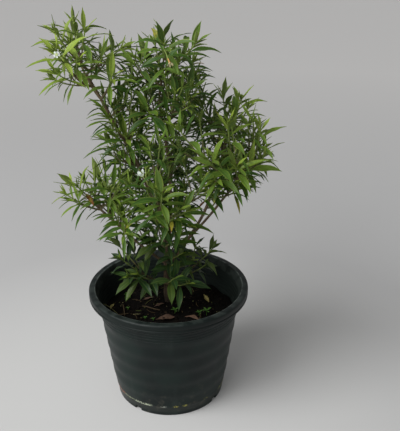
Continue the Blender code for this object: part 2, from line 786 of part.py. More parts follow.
def main():
    for old in list(bpy.data.objects):
        bpy.data.objects.remove(old)
    shoots = grow_shoots()
    make_pot()
    soil = make_soil()
    make_wood(shoots)
    soil_tree = BVHTree.FromObject(soil, bpy.context.evaluated_depsgraph_get())
    still = [soil_tree, tree_of(turned(pot_profile(), SEGMENTS)), tree_of(tube(*root_course(), WOOD_SIDES))]
    for name in LIMBS:
        curve, radii = limb_course(name)
        still.append(tree_of(tube(curve, radii, WOOD_SIDES)))
    still += [tree_of(shoot.wood()) for shoot in shoots]
    make_sprays(shoots, still)
    for name in BLOOMS:
        solids = bloom_solids(name, shoots)
        shade(combine(name, solids[0], solids[1:], "petal", "UNION", "MANIFOLD"))
    for name in DRY_LEAVES:
        shade(new_object(name, dry_leaf(name, soil_tree), "dry"))
    for name in SEEDLINGS:
        solids = seedling_solids(name)
        shade(combine(name, solids[0], solids[1:], "sprout", "UNION", "MANIFOLD"))


main()
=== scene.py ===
"""Looks of the potted crape jasmine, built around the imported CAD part.

Metres, +Z up, in the part's own frame. The plant grows by the same rules and seeds as in the part's
source, so each fine leaf lies where its plain solid lies, and side shoots then fill the crown.
"""
import json
import random
from math import cos, exp, hypot, pi, radians, sin, sqrt

import bpy
import numpy as np
from mathutils import Matrix, Vector, noise
from mathutils.bvhtree import BVHTree

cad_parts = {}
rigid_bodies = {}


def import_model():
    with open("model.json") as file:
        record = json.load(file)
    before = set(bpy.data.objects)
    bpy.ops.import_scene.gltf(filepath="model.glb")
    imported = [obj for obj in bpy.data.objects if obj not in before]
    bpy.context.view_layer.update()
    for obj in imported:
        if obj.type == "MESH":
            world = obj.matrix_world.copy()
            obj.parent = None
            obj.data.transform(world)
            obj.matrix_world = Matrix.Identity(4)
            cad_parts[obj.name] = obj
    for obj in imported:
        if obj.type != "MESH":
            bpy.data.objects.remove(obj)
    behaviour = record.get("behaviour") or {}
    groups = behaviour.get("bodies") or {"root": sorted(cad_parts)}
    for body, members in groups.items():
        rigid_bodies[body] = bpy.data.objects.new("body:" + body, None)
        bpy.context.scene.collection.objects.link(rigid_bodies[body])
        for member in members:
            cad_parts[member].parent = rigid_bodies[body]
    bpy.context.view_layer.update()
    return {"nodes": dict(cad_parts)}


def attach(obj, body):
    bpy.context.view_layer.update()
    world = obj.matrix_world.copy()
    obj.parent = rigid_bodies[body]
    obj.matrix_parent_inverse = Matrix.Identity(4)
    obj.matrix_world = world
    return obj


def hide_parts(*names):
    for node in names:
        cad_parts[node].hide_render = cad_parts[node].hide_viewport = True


CM = 0.01
GAP = 0.0003
UP = Vector((0, 0, 1))
ASIDE = Vector((0.31, 0.95, 0.05))  # a direction that no stem runs along

# Camera, fitted to the pot's lip, opening and base
CAMERA_PLACE = (0.071, -1.325, 1.010)
CAMERA_DOWN_DEG = 23.30
FOCAL_PX = 663.3
IMAGE_HEIGHT_PX = 431
SENSOR = 36

# Pot, as in the part
POT_HEIGHT = 0.272
LIP_RADIUS = 0.180
LIP_DROP = 0.0195
OPENING_RADIUS = 0.165
WALL = 0.0025
BASE_RADIUS = 0.1245
FLOOR = 0.003
FOOT_TOP = 0.024
FOOT_STEP = 0.0022
WALL_FOOT_RADIUS = 0.1285
WALL_TOP_RADIUS = 0.1608
WALL_TOP = 0.250
RIB_COUNT = 5
RIB_HEIGHT = 0.0012
NOTCH_WIDTH = 0.016
NOTCH_HEIGHT = 0.009
NOTCH_DEPTH = 0.014
NOTCH_OUT = 0.006
FIRST_NOTCH_DEG = -124

# Soil, as in the part
SOIL_TOP = 0.203
SOIL_LUMP = 0.0035
SOIL_MOUND = 0.008
MOUND_REACH = 0.05

# Wood, in centimetres, as in the part: where each limb runs, and its radius at both ends
TRUNK_PLACE = (-0.3, 2.5)
ROOT_DEPTH = 0.075
LIMBS = {
    "trunk": ([(-0.3, 2.5, 20), (-0.6, 2.3, 26), (-0.4, 2, 32.5)], 0.85, 0.62),
    "high_left": (
        [(-0.4, 2, 31), (-1.2, 1.6, 41), (-6, 1, 55), (-9.5, 1, 62), (-13, 0.4, 69.5), (-15.5, 0, 74.5)],
        0.46,
        0.25,
    ),
    "centre": ([(-0.2, 2.2, 31.5), (0.6, 3, 45), (0.2, 3, 56.5), (-1.2, 2, 68), (-0.5, 0.5, 74)], 0.4, 0.22),
    "right": ([(-0.3, 2.2, 30.5), (4.8, 3, 37.5), (8.5, 3.2, 44.5), (11, 4, 53), (13, 4, 60.5)], 0.40, 0.23),
    "far_right": ([(4.4, 2.9, 37), (8.8, 1, 43), (13, -2, 50), (16.5, -3, 55)], 0.30, 0.22),
    "low_left": ([(-0.5, 2, 31), (-6.8, 0, 37.5), (-11.5, -2, 43.5), (-16.5, -2.6, 49)], 0.32, 0.22),
    "front": ([(-0.3, 2, 32), (-0.8, -5, 41), (0, -10, 48)], 0.30, 0.22),
    "back": ([(-0.3, 2.4, 32), (-0.5, 7, 41), (-1, 10.5, 47)], 0.30, 0.22),
}

# Leafy shoots of the part, in centimetres: where each one ends
SHOOT_TIPS = {
    "high_left": [
        (-20.3, -4, 83.5), (-18.3, 5, 84), (-14.3, -5, 84.2), (-19.4, -9.5, 80.6), (-20.8, -4, 75.6),
        (-9.3, -8.2, 76), (-12.5, 3, 78.6), (-8.6, 1, 79.5), (-20, 11, 79), (-7.5, -5, 63),
        (-12.5, 1.5, 60.5), (-10.5, 8, 65),
    ],
    "centre": [
        (0, 0, 82.8), (6.2, -3, 81), (0.6, -10.6, 82), (5.5, -6, 73), (-4.5, 8, 77), (4.5, 9, 70),
        (-3, -7, 69.5), (3, -12, 67), (-4, 14, 68), (-3.4, -10.7, 56.5), (4, 14, 60),
    ],
    "right": [
        (12, 9, 68.3), (15.5, 3, 68.8), (19.5, -2, 64), (20.6, 2, 58.5), (12.5, -7, 66),
        (8.5, -14, 61.5), (14, -12.5, 59.5), (17.5, -7.5, 58), (10.5, 16, 61), (16.5, 12, 60),
        (10.5, 10.4, 52),
    ],
    "low_left": [
        (-20, -2, 51.8), (-15.5, 6, 50.5), (-12, -4, 51.5), (-8.5, -6, 45.5), (-9, 13, 47),
    ],
    "front": [
        (-3, -14, 51), (0, -17, 55.5), (4.5, -14.5, 51),
    ],
    "back": [
        (-3, 16.5, 52), (4, 15, 48),
    ],
    "basal": [
        (10, 3.5, 34.3), (-10.5, -1, 34), (-6.5, -3, 31), (1.5, -6.5, 32), (3, -2.5, 36),
        (-3.5, -2.5, 38.5),
    ],
}
WOOD_SIDES = 5
TWIG_SIDES = 4
TWIG_RADIUS = 0.0022
TWIG_FOOT_RADIUS = 0.0030
TWIG_STEPS = 2
SHORTEST_TWIG = 0.055
STEM_LENGTH = 0.056
STEM_SHARE = 0.62
STEM_SIDES = 4
STEM_FOOT_RADIUS = 0.0020
STEM_TIP_RADIUS = 0.0016
STEM_STEPS = 2
TWIG_SAG = 0.10
TWIG_SWAY = 0.05
MORE_SWAY = 0.03
MOST_SWAY = (1, 1, 0.4)  # to each side and up
LOWEST_RISE = 0.6
LEVEL_COST = 1.8
KNEE_PLACE = 0.52
CUT_GAP = 1.3 * GAP
REACH = 0.24

# Leaves, as in the part; each range is what a leaf's own share is drawn from
PAIR_PLACES = (0.16, 0.40, 0.60, 0.78, 0.92)
PAIR_ANGLES_DEG = (89, 77, 63, 46, 29)
PAIR_DROOPS = (1.25, 1.0, 0.72, 0.45, 0.2)
PAIR_LENGTHS = (0.060, 0.068, 0.066, 0.056, 0.040)
LEAF_RISE = 0.7
LEAF_START = 0.0003
LENGTH_RANGE = (0.84, 1.12)
DROOP_RANGE = (0.7, 1.25)
ANGLE_RANGE = (-9, 9)
ROLL_RANGE = (-16, 16)
SWING_RANGE = (-0.03, 0.03)
LIFT_RANGE = (-4, 4)
DROOP_LOSS = 0.04
LENGTH_LOSS = 0.03
LEAF_SLIMNESS = 0.120
LEAF_FOLD_DEG = 11
LEAF_KEEL = 0.0011
LEAF_WAVE = 0.0011
DROOP_POWER = 1.5
LEAF_FULLNESS = 0.85
LEAF_POINT = 1.1
FACE_OWN = 0.6
FACE_LEVEL = 0.7
LONG_LEAF = 0.070
LONG_STATIONS = (0, 0.25, 0.52, 0.78, 1)
SHORT_STATIONS = (0, 0.32, 0.68, 1)
CLEARANCE = 0.0005
TRIES = 14
BASAL_SHRINK = 0.86

# Blooms, as in the part
BLOOMS = {
    "bloom_centre": ("spray_centre_10", (-4.0, -11.1, 57.0), 0.0080, 1.5),
    "bloom_high_left": ("spray_high_left_04", (-18.6, -12, 80.5), 0.0062, 0.12),
    "bloom_bud": ("spray_centre_03", (1.6, -11.6, 79), 0.0045, 1.6),
}
PETALS = 5
FINE_PETAL_SHARES = {"bloom_centre": 1.04, "bloom_high_left": 0.84, "bloom_bud": 1}
TUBE_LENGTH = 0.010
TUBE_RADIUS = 0.0011
THROAT_RADIUS = 0.0024
STALK_PLACE = 0.72
STALK_TIP_RADIUS = 0.0009
BLOOM_SIDES = 5
PETAL_STAGGER = 0.1
PETAL_CURL = 0.22
FIRST_PETAL = 0.3
AHEAD = Vector((0.09, -0.93, 0.36))  # from the blooms to where the front view looks from
VIEW_FREE = 0.006
VIEW_REACH = (0.003, 0.12)
VIEW_RADIUS = 0.0105
VIEW_SIDES = 7

# Side shoots that only the scene has, in centimetres: they fill the crown
SIDE_TIPS = {
    "high_left": [
        (-18.5, 8, 81), (-11, 7.5, 78), (-17.5, -7, 78), (-11.5, -3.5, 78.5), (-21, 1.5, 79.5),
        (-13.5, 8, 77), (-6, -3, 75), (-7, 5, 73), (-10, -2, 68), (-13, 5, 69), (-4.5, 3, 66),
        (-9, 3, 57), (-6, 9, 60), (-20, 2, 76), (-8, -3, 71), (-17, 1, 82), (-15.5, -9, 79),
        (-5, 0, 77.5), (-11.7, 2, 57), (-10, 3, 60), (-21.7, -2, 74), (-16, 9, 76), (-12.2, -3, 68.5),
        (-11.2, -3.5, 66.6), (-10.8, 0, 63), (-9.8, -3, 62.6), (-9.8, -5, 65.4), (-10.2, -3, 59.8),
        (-5.6, -4, 77.7), (-6.9, 3, 75.6), (-7.5, -3, 70.3), (-9, 2, 67.2),
    ],
    "centre": [
        (0.5, -9.5, 77.5), (5.8, -2, 77.4), (-1.5, -5, 76), (3, -5, 77.5), (3.5, 3, 78), (-2, 4, 80),
        (6.4, 1, 75), (-5, -2, 74), (0.5, 4, 74), (1, -3, 71), (5, -10, 70.5), (-5.5, 3, 70),
        (2.5, 3, 66.5), (7, 1, 68.5), (0.5, -13, 62), (-3.5, -3, 64), (3.5, -6, 61), (-1, 8, 62),
        (6.5, 7, 63), (-4, 4, 57), (1, -8, 57), (5, 2, 57), (-2.5, -12, 63.5), (5.5, 12, 66),
        (-1.5, 11, 72), (-7, -11, 55), (2, 8, 54), (-6, -2, 70.3), (-6.5, -4, 67.9), (-6.3, 3, 65.3),
        (-9.6, -3, 57), (-9, -5, 54.4), (-7.4, 4, 54.6), (-8.1, 2, 58.2), (-6.2, 8, 56.3),
        (-8.4, 6, 50.9),
    ],
    "right": [
        (17, 0, 64.5), (10, 0, 65), (13.5, 4, 64), (14, -4, 61), (18.5, 4, 62), (9.5, -8, 58.5),
        (11, 6, 58), (15.5, 7, 55.5), (16.5, -4.5, 54), (20, -5, 59), (12, -12, 57), (7.5, -11, 56.5),
        (14, 12, 54), (8, 12, 56), (12, -1, 54.5), (8, -3, 52), (15, -9.5, 62), (16.9, 1, 67.4),
        (17.4, -4, 67.2),
    ],
    "low_left": [
        (-18, -5, 52.5), (-15.5, 1.5, 51.5), (-13.5, -1, 51), (-18, 2.5, 51), (-9, -8, 47.5),
        (-8, -4, 52), (-9.5, 5, 51), (-7, -7.5, 50), (-9, 8, 41.5), (-13, 2, 54), (-10.5, -1, 55),
        (-21.2, -2.6, 50), (-19.2, -5, 49.4),
    ],
    "front": [
        (2.5, -10, 49), (-2, -9, 47), (4.5, -12, 47), (-1.5, -15, 55.5), (3, -16, 52), (4, -6, 53),
        (-0.2, -8, 50.4), (1.3, -6, 47), (-1.8, -6, 46.2), (-0.2, -7.5, 44.6), (-2.2, -5, 42),
        (1.8, -5.5, 42.2),
    ],
    "back": [
        (0.5, 12, 52.5), (-5, 12, 56), (1, 16, 56), (-6.5, 8, 48), (3, 9, 46), (0, 7, 46),
        (-1.5, 13, 45),
    ],
    "basal": [
        (5, 0.5, 32.5), (-8, 1.5, 35), (-5, 4, 38), (2, 7, 36), (4.5, -6, 30.5), (-8.5, -4, 31),
        (1, -2, 33), (8.5, 1, 31.5), (-11.5, 0.5, 37), (6.2, 2, 36),
    ],
}
# How many more each part has, between two of its shoots that stand near each other, and their seed
FILLS = {
    "high_left": (12, 32),
    "centre": (60, 3),
    "right": (44, 14),
    "low_left": (14, 24),
    "front": (5, 0),
    "back": (14, 0),
    "basal": (0, 0),
}
FILL_NEIGHBOURS = 5
FILL_PLACES = (0.35, 0.65)
FILL_SPREAD = 0.016
FILL_DROP = (0.0, 0.035)
FILL_SPACE = 0.019
SIDE_TRIES = 7
SIDE_REACH = 0.13
SIDE_SHRINK = (0.72, 0.98)

# Fine blades
ROW_SHARES = (0, 0.045, 0.10, 0.19, 0.30, 0.42, 0.54, 0.66, 0.77, 0.87, 0.95, 1)
ACROSS = (-1, -0.62, -0.26, 0, 0.26, 0.62, 1)
FEWER_ROW_SHARES = (0, 0.06, 0.20, 0.38, 0.58, 0.77, 0.92, 1)
FEWER_ACROSS = (-1, -0.55, 0, 0.55, 1)
FULL = (ROW_SHARES, ACROSS)
FEWER = (FEWER_ROW_SHARES, FEWER_ACROSS)
PETIOLE = 0.06
FINE_SLIMNESS = 0.112
SIDE_SLIMNESS = 0.088
PART_WIDTHS = {"high_left": 0.86, "basal": 1.46}
FINE_FOLD_DEG = 19
WIDTH_RANGE = (0.84, 1.14)
FOLD_RANGE = (0.6, 1.4)
BLADE_THICKNESS = 0.00045
RIB_DEPTH = 0.0005
GROOVE = 0.00020
MARGIN_CURL = 0.10
MARGIN_WAVE = 0.0012
MARGIN_LAG = 2.1
WAVE_HALF = 0.008
WAVE_RANGE = (1.2, 2.2)
STALK_HALF = 0.0009
BLADE_FULLNESS = 0.88
BLADE_POINT = 1.05
TIP_START = 0.66
TIP_DRAW = 0.30
BODY_START = 0.3
FOLD_POWER = 1.2
RIB_TAPER = 0.6
PHASE_RANGE = (0, 6.28)
VEIN_SPACING = 0.0042
VEIN_RAKE = 0.55
LEAF_LAYERS = ["across", "along", "vein", "under"]
LEAF_TONES = ["age", "shade", "blemish"]
# Partly real age, partly painted light and shade: leaves lighter high up, far out and in the lit parts,
# darker low, inside, at the back and at the base
PART_AGE_AND_LIGHT = {"high_left": -0.14, "low_left": -0.26, "right": -0.10, "back": 0.08, "basal": 0.46}
HEIGHT_YOUTH_AND_LIGHT = 0.55
MIDDLE_HEIGHT = 0.5
OUTER_YOUTH_AND_LIGHT = 2.2
OUTER_START = 0.10
SIDE_AGE = 0.10
AGE_RANGE = (-0.13, 0.13)
PAIR_YOUTH = 0.11
OLDEST = 0.80
SPOTTED_SHARE = 0.06
SPOT_RANGE = (0.12, 0.3)
SICK_RANGE = (0.45, 0.9)
BASAL_BLEMISH = 0.3
# Where leaves have turned yellow or brown, in centimetres, and how far round each place, in metres
SICK_PLACES = (
    (6.6, -3.5, 77.5), (7.6, -3.0, 48.3), (14.8, -6.1, 50.0), (1.7, -16.7, 49.3), (-15.6, -5.9, 50.8),
)
SICK_REACH = 0.013
STEM_FINE_STEPS = 20
FINE_STEM_SIDES = 6
NODE_SWELL = 0.30
NODE_REACH = 0.03
FINE_STEM_SHARE = 0.82
TUFT_SHARE = 0.75
TUFT_PLACE = 0.995
TUFT_TURN = 0.5
YOUNG_LENGTHS = (0.027, 0.024, 0.017, 0.014)
YOUNG_ANGLES_DEG = (21, 26, 12, 15)
YOUNG_LENGTH_RANGE = (0.75, 1.1)
YOUNG_ANGLE_RANGE = (-5, 7)
YOUNG_ROLL_RANGE = (-0.2, 0.2)
YOUNG_STEP = 0.001
YOUNG_DROOP = 0.08
YOUNG_OLDEST = 0.14
YOUNG_SLIMNESS = 0.125
YOUNG_FOLD_DEG = 24

# Fine wood
TWIG_FINE_STEPS = 10
LIMB_FINE_STEPS = 8
LIMB_FINE_SIDES = 12
TWIG_FINE_SIDES = 8
WOOD_AGES = {"trunk": 1.0, "limb": 0.72, "twig": 0.32, "side twig": 0.2}
SIDE_TWIG_SHARE = 0.68
SCAR_SPACING = 0.023
SCAR_REACH = 0.0035
SCAR_RISE = 0.16
FIRST_SCAR = (0.2, 0.8)
BARK_LUMP = 0.10
BARK_LUMP_SCALE = 90

# Blooms and buds
PETAL_ROWS = (0, 0.12, 0.28, 0.46, 0.64, 0.80, 0.91, 0.97, 1)
PETAL_ACROSS = (-1, -0.5, 0, 0.5, 1)
FINE_PETAL_THICKNESS = 0.0004
BLOOM_WILTS = {"bloom_bud": 0.85}
PETAL_WIDE = 0.42
PETAL_NARROW = 0.37
PETAL_OFF = 0.05
PETAL_ROOT = 0.03
PETAL_POINT = 0.62
PETAL_CUP = 0.05
PETAL_START = 0.0012
PETAL_SINK = 0.0003
PETAL_STEP = 0.0001
PETAL_OPENING = (-0.1, 0.4)
PETAL_WIDE_POWER = 1.45
PETAL_NARROW_POWER = 1.3
FINE_TUBE_SIDES = 12
FLARE_PLACE = 0.7
FLARE_WIDTH = 1.2
THROAT_RISE = 0.0008
FINE_STALK_SIDES = 8
STALK_GREEN = 0.8
BUD_SHOOTS = ("high_left_01", "high_left_04", "centre_03", "right_02", "low_left_01")
BUDS_EACH = 5
BUD_PLACE = 0.99
BUD_TURNS = (-0.3, 0.3)
BUD_SPREAD = (0.25, 0.6)
BUD_SIDES = 6
BUD_REACH = (0.010, 0.017)
BUD_STATIONS = (0, 0.45, 0.60, 0.75, 0.90, 1.0)
BUD_WIDTHS = (0.035, 0.035, 0.085, 0.10, 0.07, 0.015)

# Fine pot
POT_SEGMENTS = 168
FINE_WALL_RINGS = 70
INNER_RINGS = 34
EDGE_ROUND = 0.0022
LIP_ROUND = 0.0048
LIP_INNER_ROUND = 0.0034
LIP_ROOF = 0.0055
LIP_FOOT_ROUND = 0.0009
LIP_GROOVE = 0.0014
LIP_GROOVE_RISE = 0.0060
LIP_GROOVE_OUT = 0.0004
LIP_GROOVE_ENDS = (0.0040, 0.0082)
LIP_FOOT_IN = 0.0012
LIP_ROOF_IN = 0.9 * WALL
SKIRT_BEVEL = 0.0005
FOOT_LEDGE = 0.0004
WALL_START = 0.0008
INNER_DEPTH = 0.012
FINE_LINES = (0.2155, 0.2225, 0.2295, 0.2365, 0.2435)
FINE_LINE_HALF = 0.0009
FINE_LINE_RISE = 0.0005
BAND_RISE = 0.017
INNER_RIB = 0.0004
INNER_RIB_SPACING = 0.0085

# Fine soil
FINE_SOIL_RINGS = 60
SOIL_SEGMENTS = 150
SOIL_CLEAR = 0.0008
SOIL_CLOD = 0.0016
SOIL_GRIT = 0.0009
CLOD_REPEATS = 60
GRIT_REPEATS = 520
CLOD_LAYERS = (1.0, 2.1, 3)  # how soon the finer layers fade, how much finer each is, and how many
SOIL_EDGE = 0.0012
LITTER_REACH = 0.93
LITTER_MARGIN = 0.006
CLODS = 420
CLOD_SIZES = (0.0012, 0.0042)
CLOD_SIDES = 7
CLOD_RINGS = 5
CLOD_SPREAD = 50
CLOD_SHAPE = Vector((1.15, 1, 0.8))
CLOD_ROUGHNESS = 0.35
CLOD_ROUGH_REPEATS = 1.7
CLOD_RISE = 0.15
CLOD_TINTS = (0, 0.5)
FLECKS = 130
FLECK_LENGTHS = (0.002, 0.007)
FLECK_WIDTHS = (0.001, 0.0032)
FLECK_TILTS = (-0.35, 0.35)
FLECK_LIFT = 0.0007
FLECK_THICKNESS = 0.0006
FLECK_SHOULDERS = (0.3, 0.2)
STRAWS = 34
STRAW_LENGTHS = (0.012, 0.040)
STRAW_RADII = (0.0003, 0.0007)
STRAW_BOWS = (-0.15, 0.15)
STRAW_SIDES = 5
STRAW_SHAPE = {0: 0.9, 0.25: 1, 0.5: 1.1, 0.75: 1, 1: 0.7}  # its width at each share of its length
STRAW_REACH = 0.8
STRAW_MARGIN = 0.008
STRAW_LIFT = 0.0012
STRAW_TINTS = (0.55, 1)
FALLEN_TWIGS = 4
FALLEN_TWIG_LENGTHS = (0.035, 0.07)
FALLEN_TWIG_RADIUS = 0.0013
LEANING_STRAW = (-0.118, -0.02, -0.147, -0.03)  # x and y of its foot, then of its top
LEANING_STRAW_TOP = 0.236
LEANING_STRAW_SHAPE = {0: 0.0009, 0.3: 0.0009, 0.6: 0.0008, 1: 0.0005}
LEANING_STRAW_BOW = 0.003
LEANING_STRAW_TINT = 0.93
LEANING_STRAW_SIDES = 6

# Fallen leaves: place in centimetres, heading in degrees, length and shade; the first two as in the part
DRY_LEAVES = {
    "dry_leaf_1": ((-0.5, -4.4), 20, 0.048, 0.22),
    "dry_leaf_2": ((5.4, -4.6), 150, 0.042, 0.38),
}
MORE_DRY_LEAVES = {
    "curled_leaf": ((8.6, 4.6), 112, 0.034, 0.95),
    "pale_leaf": ((-13.2, 0.2), 78, 0.027, 0.95),
    "brown_leaf": ((-2.4, 0.6), 200, 0.026, 0.2),
    "rusty_leaf": ((-5.1, 4.4), 15, 0.028, 0.2),
}
DRY_SLIMNESS = 0.17
DRY_CURL_DEG = 34
DRY_LIFT = 0.0028
DRY_ANGLE_DEG = 88
DRY_DROOP = 0.1
DRY_AGE = 0.5
# Seedlings: place in centimetres and height; the first two as in the part
SEEDLINGS = {"seedling_1": ((8.6, -2.6), 0.014), "seedling_2": ((1.4, -2.6), 0.012)}
MORE_SEEDLINGS = {
    "seedling_3": ((6.9, -3.2), 0.010),
    "seedling_4": ((-5.3, -4.4), 0.006),
    "seedling_5": ((-10.2, 5.2), 0.010),
    "seedling_6": ((-9.6, -0.1), 0.006),
    "seedling_7": ((-3.4, -5.2), 0.005),
    "grass_1": ((-10.0, 4.0), 0.034),
    "grass_2": ((-9.5, 4.8), 0.030),
    "grass_3": ((-10.6, 3.6), 0.022),
}
SPROUT_RADII = (0.0008, 0.0007, 0.0005)
SPROUT_SLIMNESS = 0.24
SPROUT_PLACES = (0.93, 0.75)
SPROUT_TURN = 0.5
SPROUT_ANGLE_DEG = 62
SPROUT_DROOP = 0.3
SPROUT_LENGTH = 0.95
SPROUT_FOLD_DEG = 10
SPROUT_OLDEST = 0.3
SPROUT_SIDES = 6
SPROUT_DEPTH = 0.004
SPROUT_ALONG = 0.3
SPROUT_LEAF_START = 0.0002
GRASS_RADII = (0.0009, 0.0008, 0.0003)
GRASS_LEAN = Vector((0.12, -0.05, 1))
GRASS_SIDES = 5
GRASS_DEPTH = 0.003
GRASS_BEND = 0.002
GRASS_ALONG = 0.2


# Colours


def rgb(red, green, blue):
    """A colour from the 0 to 255 values that a screen shows."""
    linear = []
    for value in (red, green, blue):
        v = value / 255
        linear.append(v / 12.92 if v <= 0.04045 else ((v + 0.055) / 1.055) ** 2.4)
    return (*linear, 1.0)


# Leaf colours by age; the age also holds painted light and shade
LEAF_COLOURS = [
    (0.0, rgb(176, 200, 80)),
    (0.3, rgb(116, 150, 52)),
    (0.6, rgb(70, 112, 40)),
    (1.0, rgb(36, 68, 32)),
]
LEAF_GLOW = 0.36
LEAF_SHINE = 0.38
GREEN_STEM_COLOURS = [(0.0, rgb(104, 90, 58)), (0.3, rgb(98, 108, 52)), (1.0, rgb(124, 146, 64))]
BARK_COLOURS = [
    (0.0, rgb(104, 112, 66)),
    (0.35, rgb(102, 92, 64)),
    (0.75, rgb(104, 88, 68)),
    (1.0, rgb(76, 62, 48)),
]
FLECK_COLOURS = [
    (0.0, rgb(34, 26, 18)),
    (0.45, rgb(52, 40, 27)),
    (0.7, rgb(78, 66, 42)),
    (0.85, rgb(92, 104, 46)),
    (1.0, rgb(158, 150, 112)),
]
TWIG_COLOURS = [(0.0, rgb(42, 33, 24)), (1.0, rgb(76, 64, 46))]
DRY_COLOURS = [(0.0, rgb(62, 44, 32)), (0.5, rgb(98, 70, 50)), (1.0, rgb(150, 140, 80))]
POT_SHINE = 0.21
RESIDUE_HEIGHT = 0.0265
RESIDUE_RAG = 0.0070
RESIDUE_SOFTNESS = 2.5
RESIDUES = (
    (-76, -51, 0.0021, rgb(184, 102, 50)),
    (-52, -36, 0.0029, rgb(140, 148, 118)),
    (-36, -17.5, 0.0044, rgb(172, 180, 156)),
    (-7, -3, 0.0036, rgb(142, 146, 136)),
    (6, 9, 0.0034, rgb(172, 164, 70)),
    (15.5, 18.5, 0.0034, rgb(160, 156, 74)),
    (39, 43, 0.0034, rgb(120, 120, 70)),
    (62, 80, 0.0030, rgb(160, 164, 94)),
)

# Studio
FLOOR_RADIUS = 14
FLOOR_SIDES = 96
FLOOR_FADE = 4.0
# Pale floor with painted light and shade: lighter near the pot and far out, darker in a wide ring between
FLOOR_COLOURS_WITH_PAINTED_LIGHT = [
    (0.0, rgb(214, 214, 213)),
    (0.10, rgb(203, 203, 202)),
    (0.20, rgb(189, 189, 189)),
    (0.36, rgb(195, 195, 195)),
    (1.0, rgb(214, 213, 212)),
]
KEY_PLACE = (-1.2, -0.8, 1.85)
KEY_AIM = (0, 0, 0.45)
KEY_SIZE = 1.3
KEY_WATTS = 23
# Direction of each sun, its strength and the spread of its light in degrees
SUNS = {
    "high_sun": ((-0.62, -0.40, 0.68), 1.15, 38),
    "low_sun": ((-0.45, -0.80, 0.38), 0.7, 26),
}
WORLD_GLOW = 0.31


# Mesh helpers


def grown_mesh(name, corners, faces, layers=None):
    """An object from corners and faces, with a named value or vector for each corner."""
    mesh = bpy.data.meshes.new(name)
    mesh.from_pydata([tuple(c) for c in corners], [], faces)
    for layer, values in (layers or {}).items():
        values = np.asarray(values, np.float32)
        if values.ndim == 1:
            mesh.attributes.new(layer, "FLOAT", "POINT").data.foreach_set("value", values)
        else:
            mesh.attributes.new(layer, "FLOAT_VECTOR", "POINT").data.foreach_set("vector", values.ravel())
    made = bpy.data.objects.new(name, mesh)
    bpy.context.scene.collection.objects.link(made)
    return made


def dress(made, replaced=(), sharp_deg=60):
    """Shades a piece, gives it its body, and hides the part's nodes that it stands for."""
    made.data.shade_smooth()
    made.data.set_sharp_from_angle(angle=radians(sharp_deg))
    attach(made, "root")
    if replaced:
        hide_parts(*replaced)


class Gather:
    """Collects many small solids into one mesh, with their per-corner values."""

    def __init__(self):
        self.corners, self.faces, self.slots, self.layers = [], [], [], {}

    def add(self, solid, slot=0, **layers):
        """Adds a solid's corners and faces; a layer has a value for each corner, or one for all."""
        corners, faces = solid
        first = len(self.corners)
        self.corners += corners
        self.faces += [tuple(first + i for i in face) for face in faces]
        self.slots += [slot] * len(faces)
        for layer, values in layers.items():
            if not isinstance(values, list):
                values = [values] * len(corners)
            self.layers.setdefault(layer, []).extend(values)

    def piece(self, name, materials, replaced=(), sharp_deg=60):
        """Makes the piece, with one material slot for each material."""
        made = grown_mesh(name, self.corners, self.faces, self.layers)
        for material in materials:
            made.data.materials.append(material)
        made.data.polygons.foreach_set("material_index", self.slots)
        dress(made, replaced, sharp_deg)


def turned_way(side, other, turn):
    """The direction that is turned by an angle from one side towards another."""
    return side * cos(turn) + other * sin(turn)


def square_to(along, side):
    """The direction nearest to side that is square to along, and the one square to both."""
    side = (side - along * side.dot(along)).normalized()
    return side, along.cross(side)


def evenly(start, end, steps):
    """Values from start to end in even steps."""
    return [start + (end - start) * i / steps for i in range(steps + 1)]


def each(values, count):
    """Each value count times over."""
    return [value for value in values for _ in range(count)]


def ring(count, radius, height=0.0):
    """Points round the Z axis."""
    turns = [2 * pi * k / count for k in range(count)]
    return [Vector((radius * cos(turn), radius * sin(turn), height)) for turn in turns]


def level_way(turn):
    """The level direction at an angle from +X."""
    return Vector((cos(turn), sin(turn), 0))


def turned(profile, segments):
    """A solid turned about Z: the profile runs from the axis, up outside, down inside, to the axis."""
    rim = profile[1:-1]
    corners = [Vector((0, 0, profile[0][1])), Vector((0, 0, profile[-1][1]))]
    for radius, height in rim:
        corners += ring(segments, radius, height)
    faces = []
    last = 2 + (len(rim) - 1) * segments
    for k in range(segments):
        nxt = (k + 1) % segments
        faces += [(0, 2 + nxt, 2 + k), (1, last + k, last + nxt)]
        for low in range(2, last, segments):
            high = low + segments
            faces.append((low + k, low + nxt, high + nxt, high + k))
    return corners, faces


def tube(points, radii, sides, ends=(None, None), grow=0.0, side=None):
    """A closed tube along the points, with a flat cap at each end, square to the end directions."""
    corners, faces = [], []
    last = len(points) - 1
    for i, point in enumerate(points):
        along = points[min(i + 1, last)] - points[max(i - 1, 0)]
        if i == 0 and ends[0]:
            along = ends[0]
        if i == last and ends[1]:
            along = ends[1]
        along = along.normalized()
        side, other = square_to(along, along.cross(ASIDE).normalized() if side is None else side)
        for k in range(sides):
            corners.append(point + turned_way(side, other, 2 * pi * k / sides) * (radii[i] + grow))
    for i in range(last):
        for k in range(sides):
            nxt = (k + 1) % sides
            a, b = i * sides + k, i * sides + nxt
            faces.append((a, b, b + sides, a + sides))
    faces.append(tuple(reversed(range(sides))))
    faces.append(tuple(last * sides + k for k in range(sides)))
    return corners, faces


def tree_of(solid):
    """What the overlap tests search."""
    return BVHTree.FromPolygons(*solid)


def node_tree(node):
    """The same, for a node of the part."""
    return BVHTree.FromObject(node, bpy.context.evaluated_depsgraph_get())


def meets(tree, others):
    """Whether one solid's tree crosses any of the others'."""
    return any(tree.overlap(other) for other in others)


def through(points, per_span):
    """A smooth curve through the points, as Vectors."""
    points = [Vector(p) for p in points]
    padded = [2 * points[0] - points[1]] + points + [2 * points[-1] - points[-2]]
    curve = []
    for a, b, c, d in zip(padded, padded[1:], padded[2:], padded[3:]):
        bow, swing = 2 * a - 5 * b + 4 * c - d, 3 * b - a - 3 * c + d
        for k in range(per_span):
            t = k / per_span
            curve.append(0.5 * (2 * b + (c - a) * t + bow * t**2 + swing * t**3))
    return curve + [points[-1]]


